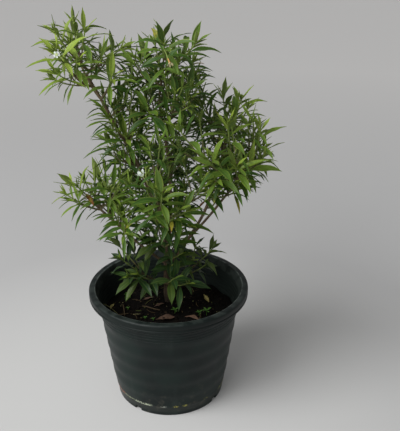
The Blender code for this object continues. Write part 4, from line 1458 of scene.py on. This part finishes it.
def add_straw(gather, dice, lengths=STRAW_LENGTHS, radius=None, slot=1):
    """A stalk or twig that lies across the crumbs."""
    x, y = on_soil(dice, STRAW_REACH)
    length = dice.uniform(*lengths)
    radius = radius or dice.uniform(*STRAW_RADII)
    turn = dice.uniform(0, pi)
    bow = dice.uniform(*STRAW_BOWS)
    points = []
    for share in STRAW_SHAPE:
        far = (share - 0.5) * length
        side = bow * length * sin(pi * share)
        px = x + far * cos(turn) - side * sin(turn)
        py = y + far * sin(turn) + side * cos(turn)
        if hypot(px, py) > inner_radius(SOIL_TOP) - STRAW_MARGIN:
            return
        points.append(Vector((px, py, fine_soil_height(px, py) + radius + STRAW_LIFT)))
    radii = [radius * width for width in STRAW_SHAPE.values()]
    gather.add(tube(points, radii, STRAW_SIDES), slot, tint=dice.uniform(*STRAW_TINTS))


def add_leaning_straw(gather):
    """The dry yellow stalk that leans on the pot's inner wall."""
    foot_x, foot_y, top_x, top_y = LEANING_STRAW
    foot = Vector((foot_x, foot_y, soil_height(foot_x, foot_y)))
    top = Vector((top_x, top_y, LEANING_STRAW_TOP))
    points = [
        foot.lerp(top, share) + UP * LEANING_STRAW_BOW * sin(pi * share)
        for share in LEANING_STRAW_SHAPE
    ]
    solid = tube(points, list(LEANING_STRAW_SHAPE.values()), LEANING_STRAW_SIDES)
    gather.add(solid, 1, tint=LEANING_STRAW_TINT)


def make_litter(own, more, more_name, add, slot, material):
    """A finer piece for each of the part's fallen leaves or seedlings, and one for the scene's own."""
    groups = {name + "_fine": [name] for name in own}
    groups[more_name] = list(more)
    for piece_name, members in groups.items():
        gather = Gather()
        for name in members:
            add(gather, name, *(own | more)[name])
        gather.piece(piece_name, [material], [name for name in members if name in own])


def add_dry_leaf(gather, name, place, heading, length, shade):
    """A fallen leaf that follows the soil's lumps, with its margins curled up."""
    dice = random.Random("fallen " + name)
    out = level_way(radians(heading))
    start = Vector((place[0] * CM, place[1] * CM, 0)) - out * length / 2
    leaf = Leaf(start, UP, out, radians(DRY_ANGLE_DEG), DRY_DROOP, length)
    tone = {"age": DRY_AGE, "shade": shade, "blemish": dice.random()}
    add_blade(gather, leaf, DRY_SLIMNESS, DRY_CURL_DEG, dice, tone, lying=True)


def add_seedling(gather, name, place, height):
    """A thin stem with two pairs of small round leaves, or a blade of grass."""
    x, y = place[0] * CM, place[1] * CM
    ground = Vector((x, y, soil_height(x, y)))
    if name.startswith("grass"):
        rise = GRASS_LEAN * height
        points = [ground - UP * GRASS_DEPTH, ground + rise / 2, ground + rise + ASIDE * GRASS_BEND]
        gather.add(tube(points, GRASS_RADII, GRASS_SIDES), 0, **stem_layers(GRASS_ALONG))
        return
    dice = random.Random("sprout " + name)
    points = [ground - UP * SPROUT_DEPTH, ground + UP * height / 2, ground + UP * height]
    gather.add(tube(points, SPROUT_RADII, SPROUT_SIDES), 0, **stem_layers(SPROUT_ALONG))
    for k in range(4):
        out = level_way(k * pi / 2 + SPROUT_TURN)
        start = ground + UP * height * SPROUT_PLACES[k % 2] + out * SPROUT_LEAF_START
        leaf = Leaf(start, UP, out, radians(SPROUT_ANGLE_DEG), SPROUT_DROOP, height * SPROUT_LENGTH)
        tone = young_tone(dice, SPROUT_OLDEST)
        add_blade(gather, leaf, SPROUT_SLIMNESS, SPROUT_FOLD_DEG, dice, tone)


# Blooms


def fine_petal(start, along, out, length, slant):
    """A thin pinwheel petal: narrow at its root, wide to one side, with a soft curl."""
    across = along.cross(out).normalized()
    corners = []
    for share in PETAL_ROWS[:-1]:
        grown = smoothstep(*PETAL_OPENING, share)
        high = PETAL_OFF + PETAL_WIDE * sin(pi * share**PETAL_WIDE_POWER) ** PETAL_POINT
        low = PETAL_OFF - PETAL_NARROW * sin(pi * share**PETAL_NARROW_POWER) ** PETAL_POINT
        high, low = high * grown + PETAL_ROOT, low * grown - PETAL_ROOT
        for u, under in there_and_back(PETAL_ACROSS):
            rise = slant * share - PETAL_CURL * share**2 + PETAL_CUP * u * u * share
            lift = length * rise - FINE_PETAL_THICKNESS * under
            edge = (high + low) / 2 + (high - low) / 2 * u
            corners.append(start + out * length * share + across * length * edge + along * lift)
    tip = out + across * PETAL_OFF + along * (slant - PETAL_CURL)
    corners.append(start + tip * length)
    return corners, ring_faces(len(corners) - 1, 2 * len(PETAL_ACROSS) - 2)


def make_blooms(shoots, materials):
    """Each bloom with its tube, which flares into the throat, and its curled petals."""
    for name, (_, _, size, steepness) in BLOOMS.items():
        gather = Gather()
        wilt = BLOOM_WILTS.get(name, 0.0)
        _, place, facing = bloom_axis(name, shoots)
        start = place - facing * (TUBE_LENGTH - CUT_GAP)
        points = [start, start + facing * TUBE_LENGTH * FLARE_PLACE, place + facing * THROAT_RISE]
        radii = [TUBE_RADIUS, FLARE_WIDTH * TUBE_RADIUS, THROAT_RADIUS]
        gather.add(tube(points, radii, FINE_TUBE_SIDES, (facing, facing)), 1, throat=0.0, wilt=wilt)
        side = facing.cross(UP).normalized()
        length = size * FINE_PETAL_SHARES[name]
        for k in range(PETALS):
            out = turned_way(side, facing.cross(side), 2 * pi * k / PETALS + FIRST_PETAL)
            root = place - facing * PETAL_SINK + out * PETAL_START + facing * PETAL_STEP * k
            petal = fine_petal(root, facing, out, length, steepness + PETAL_STAGGER * (k % 2))
            reach = [(corner - root).length / length for corner in petal[0]]
            gather.add(petal, 0, throat=reach, wilt=wilt)
        gather.piece(name + "_fine", materials, [name])


# Materials


class Shader:
    """One material's node tree, built by short calls that each return a socket."""

    def __init__(self, name):
        self.material = bpy.data.materials.new(name)
        self.material.use_nodes = True
        self.tree = self.material.node_tree
        self.surface = self.tree.nodes["Principled BSDF"]
        self.output = self.tree.nodes["Material Output"]
        self.place = self.add("ShaderNodeTexCoord").outputs["Object"]

    def add(self, kind, inputs=None, **settings):
        """A node, with its settings and inputs, each a plain value or another node's socket."""
        node = self.tree.nodes.new(kind)
        for key, value in settings.items():
            setattr(node, key, value)
        for key, value in (inputs or {}).items():
            self.feed(node.inputs[key], value)
        return node

    def feed(self, socket, value):
        if isinstance(value, bpy.types.NodeSocket):
            self.tree.links.new(value, socket)
        else:
            socket.default_value = value

    def paint(self, **values):
        """The finished material: the surface takes its colour and the inputs given, with _ for a space."""
        for key, value in (values | {"Base_Color": self.colour}).items():
            self.feed(self.surface.inputs[key.replace("_", " ")], value)
        return self.material

    def attribute(self, name):
        return self.add("ShaderNodeAttribute", attribute_name=name).outputs["Fac"]

    def math(self, operation, *values):
        return self.add("ShaderNodeMath", dict(enumerate(values)), operation=operation).outputs[0]

    def times(self, first, second):
        return self.math("MULTIPLY", first, second)

    def plus(self, first, second):
        return self.math("ADD", first, second)

    def axis_place(self):
        """A point's x, y and z, and how far it is from the part's axis."""
        x, y, z = self.add("ShaderNodeSeparateXYZ", {0: self.place}).outputs
        return x, y, z, self.math("SQRT", self.plus(self.times(x, x), self.times(y, y)))

    def veins(self, crispness):
        """Narrow lines at even steps along a leaf."""
        turn = self.times(self.attribute("vein"), 2 * pi)
        return self.ramp(self.math("COSINE", turn), crispness, 1)

    def ramp(self, value, low, high, start=0.0, end=1.0):
        """The value's rise from low to high, as a smooth run from start to end."""
        spread = {"Value": value, "From Min": low, "From Max": high, "To Min": start, "To Max": end}
        return self.add("ShaderNodeMapRange", spread, interpolation_type="SMOOTHSTEP").outputs["Result"]

    def noise(self, scale, detail=3.0, stretch=(1, 1, 1), roughness=0.5):
        """A cloudy value from 0 to 1, with scale in repeats a metre."""
        place = self.place
        if stretch != (1, 1, 1):
            place = self.add("ShaderNodeVectorMath", {0: place, 1: stretch}, operation="MULTIPLY").outputs[0]
        inputs = {"Vector": place, "Scale": scale, "Detail": detail, "Roughness": roughness}
        return self.add("ShaderNodeTexNoise", inputs).outputs["Fac"]

    def mix(self, share, first, second, blend="MIX"):
        node = self.add("ShaderNodeMix", {0: share, 6: first, 7: second}, data_type="RGBA", blend_type=blend)
        return node.outputs[2]

    def over(self, share, colour):
        """Lays a share of a colour over the surface's colour so far."""
        self.colour = self.mix(share, self.colour, colour)

    def colours(self, value, stops):
        """A colour that runs through the stops, each a place from 0 to 1 and a colour."""
        node = self.add("ShaderNodeValToRGB", {"Fac": value})
        band = node.color_ramp
        while len(band.elements) < len(stops):
            band.elements.new(0.5)
        for element, (place, colour) in zip(band.elements, stops):
            element.position = place
            element.color = colour
        return node.outputs["Color"]

    def bump(self, height, distance, strength=1.0):
        inputs = {"Height": height, "Distance": distance, "Strength": strength}
        return self.add("ShaderNodeBump", inputs).outputs["Normal"]

    def let_light_through(self, colour, share):
        """Some light passes through, as in a thin leaf held against the light."""
        glow = self.add("ShaderNodeBsdfTranslucent", {"Color": colour}).outputs[0]
        both = self.add("ShaderNodeMixShader", {0: share, 1: self.surface.outputs[0], 2: glow}).outputs[0]
        self.tree.links.new(both, self.output.inputs["Surface"])


def leaf_material():
    """Living leaf: age (which also holds painted light and shade), shade, pale ribs, a paler underside,
    painted light at the margins, and yellow or brown blemishes.
    """
    s = Shader("living_leaf")
    across = s.math("ABSOLUTE", s.attribute("across"))
    along = s.attribute("along")
    under = s.attribute("under")
    age = s.plus(s.attribute("age"), s.times(s.noise(11, 2), 0.10))
    s.colour = s.colours(age, LEAF_COLOURS)
    shade = s.attribute("shade")
    s.over(s.ramp(shade, 0.5, 1, 0, 0.36), rgb(138, 160, 60))
    s.over(s.ramp(shade, 0.4, 0, 0, 0.45), rgb(24, 54, 28))
    mottle = s.noise(420, 3)
    s.over(s.ramp(mottle, 0.35, 0.75, 0, 0.22), rgb(68, 102, 38))
    # painted light: young leaves' margins lightened to yellow-green, as if lit through from behind
    painted_glow_margin = s.times(s.ramp(across, 0.70, 0.98), s.ramp(age, 0.95, 0.35, 0.08, 0.55))
    s.over(painted_glow_margin, rgb(176, 188, 78))
    vein = s.times(s.times(s.veins(0.80), s.ramp(across, 1, 0.75)), s.ramp(along, 0.05, 0.15))
    rib = s.ramp(across, 0.13, 0.03)
    s.over(s.times(vein, 0.10), rgb(130, 150, 74))
    s.over(s.times(rib, 0.30), rgb(146, 162, 84))
    s.over(s.times(under, 0.45), rgb(132, 146, 92))
    blemish = s.attribute("blemish")
    patch = s.plus(s.times(s.noise(85, 4), 0.7), s.times(along, 0.55))
    patch = s.plus(patch, s.times(across, 0.12))
    reach = s.plus(patch, blemish)
    s.over(s.ramp(reach, 1.02, 1.22), rgb(172, 166, 62))
    s.over(s.ramp(reach, 1.28, 1.48), rgb(142, 92, 44))
    relief = s.math("SUBTRACT", s.times(mottle, 0.25), s.times(vein, 0.8))
    roughness = s.plus(s.times(under, 0.20), s.ramp(mottle, 0.3, 0.7, 0.42, 0.50))
    glow = s.mix(1.0, s.colour, rgb(226, 232, 110), "MULTIPLY")
    s.let_light_through(s.mix(0.35, glow, rgb(140, 164, 44)), LEAF_GLOW)
    return s.paint(Roughness=roughness, Specular_IOR_Level=LEAF_SHINE, Normal=s.bump(relief, 0.0003, 0.5))


def green_stem_material():
    """Young stem, brown where it leaves the wood."""
    s = Shader("green_stem")
    s.colour = s.colours(s.attribute("along"), GREEN_STEM_COLOURS)
    streak = s.noise(260, 3)
    s.over(s.ramp(streak, 0.45, 0.7, 0, 0.35), rgb(116, 122, 66))
    return s.paint(Roughness=0.55, Normal=s.bump(streak, 0.0004, 0.4))


def bark_material():
    """Bark: grey-brown on the trunk, warm brown on limbs, greenish on young twigs, with fine streaks."""
    s = Shader("bark")
    far, around = s.attribute("far"), s.attribute("around")
    turn = s.times(around, 2 * pi)
    round_place = s.add(
        "ShaderNodeCombineXYZ", {0: s.math("COSINE", turn), 1: s.math("SINE", turn), 2: s.times(far, 22)}
    ).outputs[0]
    streak = s.add("ShaderNodeTexNoise", {"Vector": round_place, "Scale": 2.6, "Detail": 5.0}).outputs["Fac"]
    dots = s.add("ShaderNodeTexVoronoi", {"Vector": s.place, "Scale": 260.0}).outputs["Distance"]
    lenticel = s.ramp(dots, 0.22, 0.12)
    s.colour = s.colours(s.attribute("old"), BARK_COLOURS)
    s.over(s.ramp(streak, 0.5, 0.72, 0, 0.55), rgb(140, 122, 96))
    s.over(s.ramp(streak, 0.48, 0.3, 0, 0.55), rgb(52, 40, 30))
    s.over(s.times(lenticel, 0.5), rgb(156, 140, 112))
    # painted shade, partly damp wood: the bark darkens towards the soil, where it stands in shadow under the
    # leaves
    z = s.axis_place()[2]
    s.over(s.ramp(z, SOIL_TOP + 0.07, SOIL_TOP, 0, 0.8), rgb(26, 21, 16))
    relief = s.plus(streak, s.times(lenticel, 0.3))
    return s.paint(Roughness=0.8, Specular_IOR_Level=0.3, Normal=s.bump(relief, 0.0009, 0.7))


def pot_material():
    """Dark slate-green plastic with dust, a worn lip, dried residue in lines above the foot, a painted
    highlight on the lip's inner edge and painted light inside.
    """
    s = Shader("pot_plastic")
    x, y, z, away = s.axis_place()
    cloud = s.noise(14, 4)
    grain = s.noise(900, 2)
    s.colour = s.mix(s.ramp(cloud, 0.35, 0.7), rgb(14, 23, 22), rgb(24, 36, 33))
    streaks = s.noise(30, 4, (1, 1, 0.12))
    s.over(s.ramp(streaks, 0.55, 0.75, 0, 0.22), rgb(58, 66, 63))
    lip = s.ramp(z, POT_HEIGHT - LIP_DROP - 0.0006, POT_HEIGHT - LIP_DROP + 0.0006)
    s.over(s.times(lip, 0.85), s.mix(cloud, rgb(11, 17, 16), rgb(21, 29, 27)))
    worn = s.times(s.ramp(z, POT_HEIGHT - 0.0036, POT_HEIGHT - 0.0004), s.ramp(s.noise(48, 4), 0.38, 0.66))
    s.over(s.times(worn, 0.16), rgb(94, 104, 99))
    # painted highlight: a pale broken line along the inner top edge of the lip
    lip_edge_highlight = s.times(s.ramp(away, OPENING_RADIUS + 0.0042, OPENING_RADIUS + 0.0012), lip)
    lip_edge_highlight = s.times(lip_edge_highlight, s.ramp(s.noise(60, 4), 0.36, 0.60))
    s.over(s.times(lip_edge_highlight, 0.65), rgb(112, 122, 116))
    azimuth = s.math("DEGREES", s.math("ARCTAN2", x, s.times(y, -1)))
    ragged = s.noise(290, 3)
    lift = s.times(s.math("SUBTRACT", ragged, 0.5), RESIDUE_RAG)
    high = s.math("ABSOLUTE", s.math("SUBTRACT", s.plus(z, lift), RESIDUE_HEIGHT))
    slope = (WALL_TOP_RADIUS - WALL_FOOT_RADIUS) / (WALL_TOP - FOOT_TOP)
    middle = s.math("MULTIPLY_ADD", z, slope, WALL_FOOT_RADIUS - slope * FOOT_TOP - WALL / 2)
    flare = s.times(s.math("GREATER_THAN", z, WALL_TOP), OPENING_RADIUS + 0.001)
    inside = s.math("LESS_THAN", away, s.math("MAXIMUM", middle, flare))
    # painted light: the inside takes a lighter, greyer copy of the plastic's colour, to brighten the shaded
    # inner wall
    s.over(s.times(inside, 0.75), s.mix(cloud, rgb(28, 34, 31), rgb(42, 48, 44)))
    outside = s.math("GREATER_THAN", away, BASE_RADIUS - 0.004)
    worn_through = s.times(outside, s.ramp(s.noise(330, 3), 0.43, 0.52))
    for start, end, half, residue in RESIDUES:
        begun = s.ramp(azimuth, start - RESIDUE_SOFTNESS, start + RESIDUE_SOFTNESS)
        window = s.times(begun, s.ramp(azimuth, end + RESIDUE_SOFTNESS, end - RESIDUE_SOFTNESS))
        line = s.times(worn_through, s.ramp(high, half, half * 0.4))
        s.over(s.times(window, line), residue)
    dust = s.times(s.ramp(s.noise(65, 5), 0.52, 0.75), s.ramp(z, 0.12, 0.0))
    s.over(s.times(dust, 0.35), rgb(96, 92, 80))
    relief = s.plus(s.times(grain, 0.6), s.times(cloud, 0.4))
    roughness = s.ramp(cloud, 0.3, 0.7, 0.36, 0.50)
    return s.paint(Roughness=roughness, Specular_IOR_Level=POT_SHINE, Normal=s.bump(relief, 0.0003, 0.25))


def soil_material():
    """Damp potting soil, nearly black, with browner crumbs."""
    s = Shader("potting_soil")
    crumbs = s.noise(330, 5, roughness=0.65)
    s.colour = s.mix(s.ramp(crumbs, 0.42, 0.72), rgb(6, 5, 4), rgb(20, 15, 11))
    s.over(s.ramp(s.noise(900, 2), 0.66, 0.74, 0, 0.5), rgb(58, 47, 34))
    s.over(s.times(s.attribute("tint"), 0.35), rgb(38, 29, 21))
    return s.paint(Roughness=0.95, Specular_IOR_Level=0.1, Normal=s.bump(crumbs, 0.002, 0.9))


def litter_material(name, stops):
    """Scraps on the soil, each in a colour of its own between the stops."""
    s = Shader(name)
    grain = s.noise(600, 3)
    s.colour = s.colours(s.attribute("tint"), stops)
    s.over(s.ramp(grain, 0.4, 0.7, 0, 0.35), rgb(60, 44, 30))
    return s.paint(Roughness=0.85, Specular_IOR_Level=0.2, Normal=s.bump(grain, 0.0004, 0.5))


def dry_leaf_material():
    """Fallen leaf: brownish pink to straw, with darker ribs and spots."""
    s = Shader("dry_leaf")
    across = s.math("ABSOLUTE", s.attribute("across"))
    s.colour = s.colours(s.attribute("shade"), DRY_COLOURS)
    spots = s.noise(210, 4)
    s.over(s.ramp(spots, 0.48, 0.70, 0, 0.6), rgb(48, 34, 26))
    s.over(s.ramp(across, 0.12, 0.03, 0, 0.4), rgb(108, 88, 66))
    relief = s.plus(s.times(s.veins(0.75), -0.6), s.times(spots, 0.6))
    return s.paint(Roughness=0.75, Normal=s.bump(relief, 0.0005, 0.7))


def seedling_material():
    """Bright young green."""
    s = Shader("seedling")
    tone = s.noise(160, 3)
    s.colour = s.mix(tone, rgb(40, 88, 27), rgb(90, 134, 44))
    s.over(s.ramp(s.attribute("along"), 0.6, 1, 0, 0.3), rgb(140, 168, 74))
    s.let_light_through(rgb(104, 156, 44), 0.3)
    return s.paint(Roughness=0.45, Normal=s.bump(tone, 0.0003, 0.4))


def petal_material():
    """White petal with faint ribs and a touch of yellow at the throat."""
    s = Shader("white_petal")
    throat = s.attribute("throat")
    ribs = s.noise(260, 3)
    s.colour = s.mix(s.ramp(ribs, 0.4, 0.7, 0, 0.5), rgb(240, 246, 245), rgb(218, 229, 226))
    s.over(s.ramp(throat, 0.16, 0.02, 0, 0.5), rgb(222, 220, 150))
    s.over(s.attribute("wilt"), rgb(230, 212, 152))
    s.let_light_through(rgb(250, 252, 246), 0.5)
    return s.paint(Roughness=0.55, Normal=s.bump(ribs, 0.0003, 0.4))


def flower_tube_material():
    """The pale green tube of a bloom."""
    s = Shader("flower_tube")
    tone = s.noise(220, 3)
    s.colour = s.mix(tone, rgb(150, 172, 96), rgb(206, 214, 160))
    s.over(s.attribute("wilt"), rgb(190, 132, 66))
    return s.paint(Roughness=0.5, Normal=s.bump(tone, 0.0003, 0.4))


def floor_material():
    """A pale floor with painted light and shade: lighter near the pot and far out, a little darker in a wide
    ring between.
    """
    s = Shader("studio_floor")
    *_, away = s.axis_place()
    s.colour = s.colours(s.math("DIVIDE", away, FLOOR_FADE), FLOOR_COLOURS_WITH_PAINTED_LIGHT)
    return s.paint(Roughness=0.9, Specular_IOR_Level=0.1)


# Studio


def make_floor():
    """A wide floor that fills the view."""
    corners = [Vector()] + ring(FLOOR_SIDES, FLOOR_RADIUS)
    faces = [(0, 1 + k, 1 + (k + 1) % FLOOR_SIDES) for k in range(FLOOR_SIDES)]
    floor = grown_mesh("studio_floor", corners, faces)
    floor.data.materials.append(floor_material())


def hang_light(name, kind, watts, towards):
    """A light that shines back along the direction."""
    lamp = bpy.data.lights.new(name, kind)
    lamp.energy = watts
    made = bpy.data.objects.new(name, lamp)
    made.rotation_euler = Vector(towards).to_track_quat("Z", "Y").to_euler()
    bpy.context.scene.collection.objects.link(made)
    return made


def make_studio():
    """A soft lamp, two very soft suns, a grey surrounding glow, the plain view transform and the camera."""
    key = hang_light("key", "AREA", KEY_WATTS, Vector(KEY_PLACE) - Vector(KEY_AIM))
    key.data.shape = "SQUARE"
    key.data.size = KEY_SIZE
    key.location = KEY_PLACE
    for name, (towards, strength, spread_deg) in SUNS.items():
        hang_light(name, "SUN", strength, towards).data.angle = radians(spread_deg)
    scene = bpy.context.scene
    world = bpy.data.worlds.new("studio")
    world.use_nodes = True
    glow = world.node_tree.nodes["Background"]
    glow.inputs["Color"].default_value = (1, 1, 1, 1)
    glow.inputs["Strength"].default_value = WORLD_GLOW
    scene.world = world
    scene.view_settings.view_transform = "Standard"
    scene.view_settings.look = "None"
    lens = bpy.data.cameras.new("camera")
    lens.sensor_width = SENSOR
    lens.sensor_height = SENSOR
    lens.sensor_fit = "VERTICAL"
    lens.lens = FOCAL_PX * SENSOR / IMAGE_HEIGHT_PX
    lens.clip_end = 100
    camera = bpy.data.objects.new("camera", lens)
    camera.location = CAMERA_PLACE
    camera.rotation_euler = (radians(90 - CAMERA_DOWN_DEG), 0, 0)
    scene.collection.objects.link(camera)
    scene.camera = camera


def main():
    for old in list(bpy.data.objects):
        bpy.data.objects.remove(old)
    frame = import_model()
    make_studio()
    make_floor()
    wood = Wood()
    shoots = wood.grow(SHOOT_TIPS, "spray")
    still = still_trees(frame["nodes"], shoots)
    views = view_trees(shoots)
    wood.stem_trees += views
    side_shoots = wood.grow(with_fill(SIDE_TIPS), "side")
    leaves = grow_leaves(shoots, side_shoots, still, bloom_trees(frame["nodes"], shoots), views)
    everything = shoots + side_shoots
    make_foliage(everything, leaves, [leaf_material(), green_stem_material()])
    make_wood(everything, bark_material())
    make_pot(pot_material())
    flecks = litter_material("litter_flecks", FLECK_COLOURS)
    twigs = litter_material("litter_twigs", TWIG_COLOURS)
    make_soil([soil_material(), flecks, twigs])
    leaf_litter = (DRY_LEAVES, MORE_DRY_LEAVES, "leaf_litter", add_dry_leaf, "dry_leaf")
    make_litter(*leaf_litter, dry_leaf_material())
    sprouts = (SEEDLINGS, MORE_SEEDLINGS, "small_seedlings", add_seedling, "seedling")
    make_litter(*sprouts, seedling_material())
    make_blooms(shoots, [petal_material(), flower_tube_material()])


main()
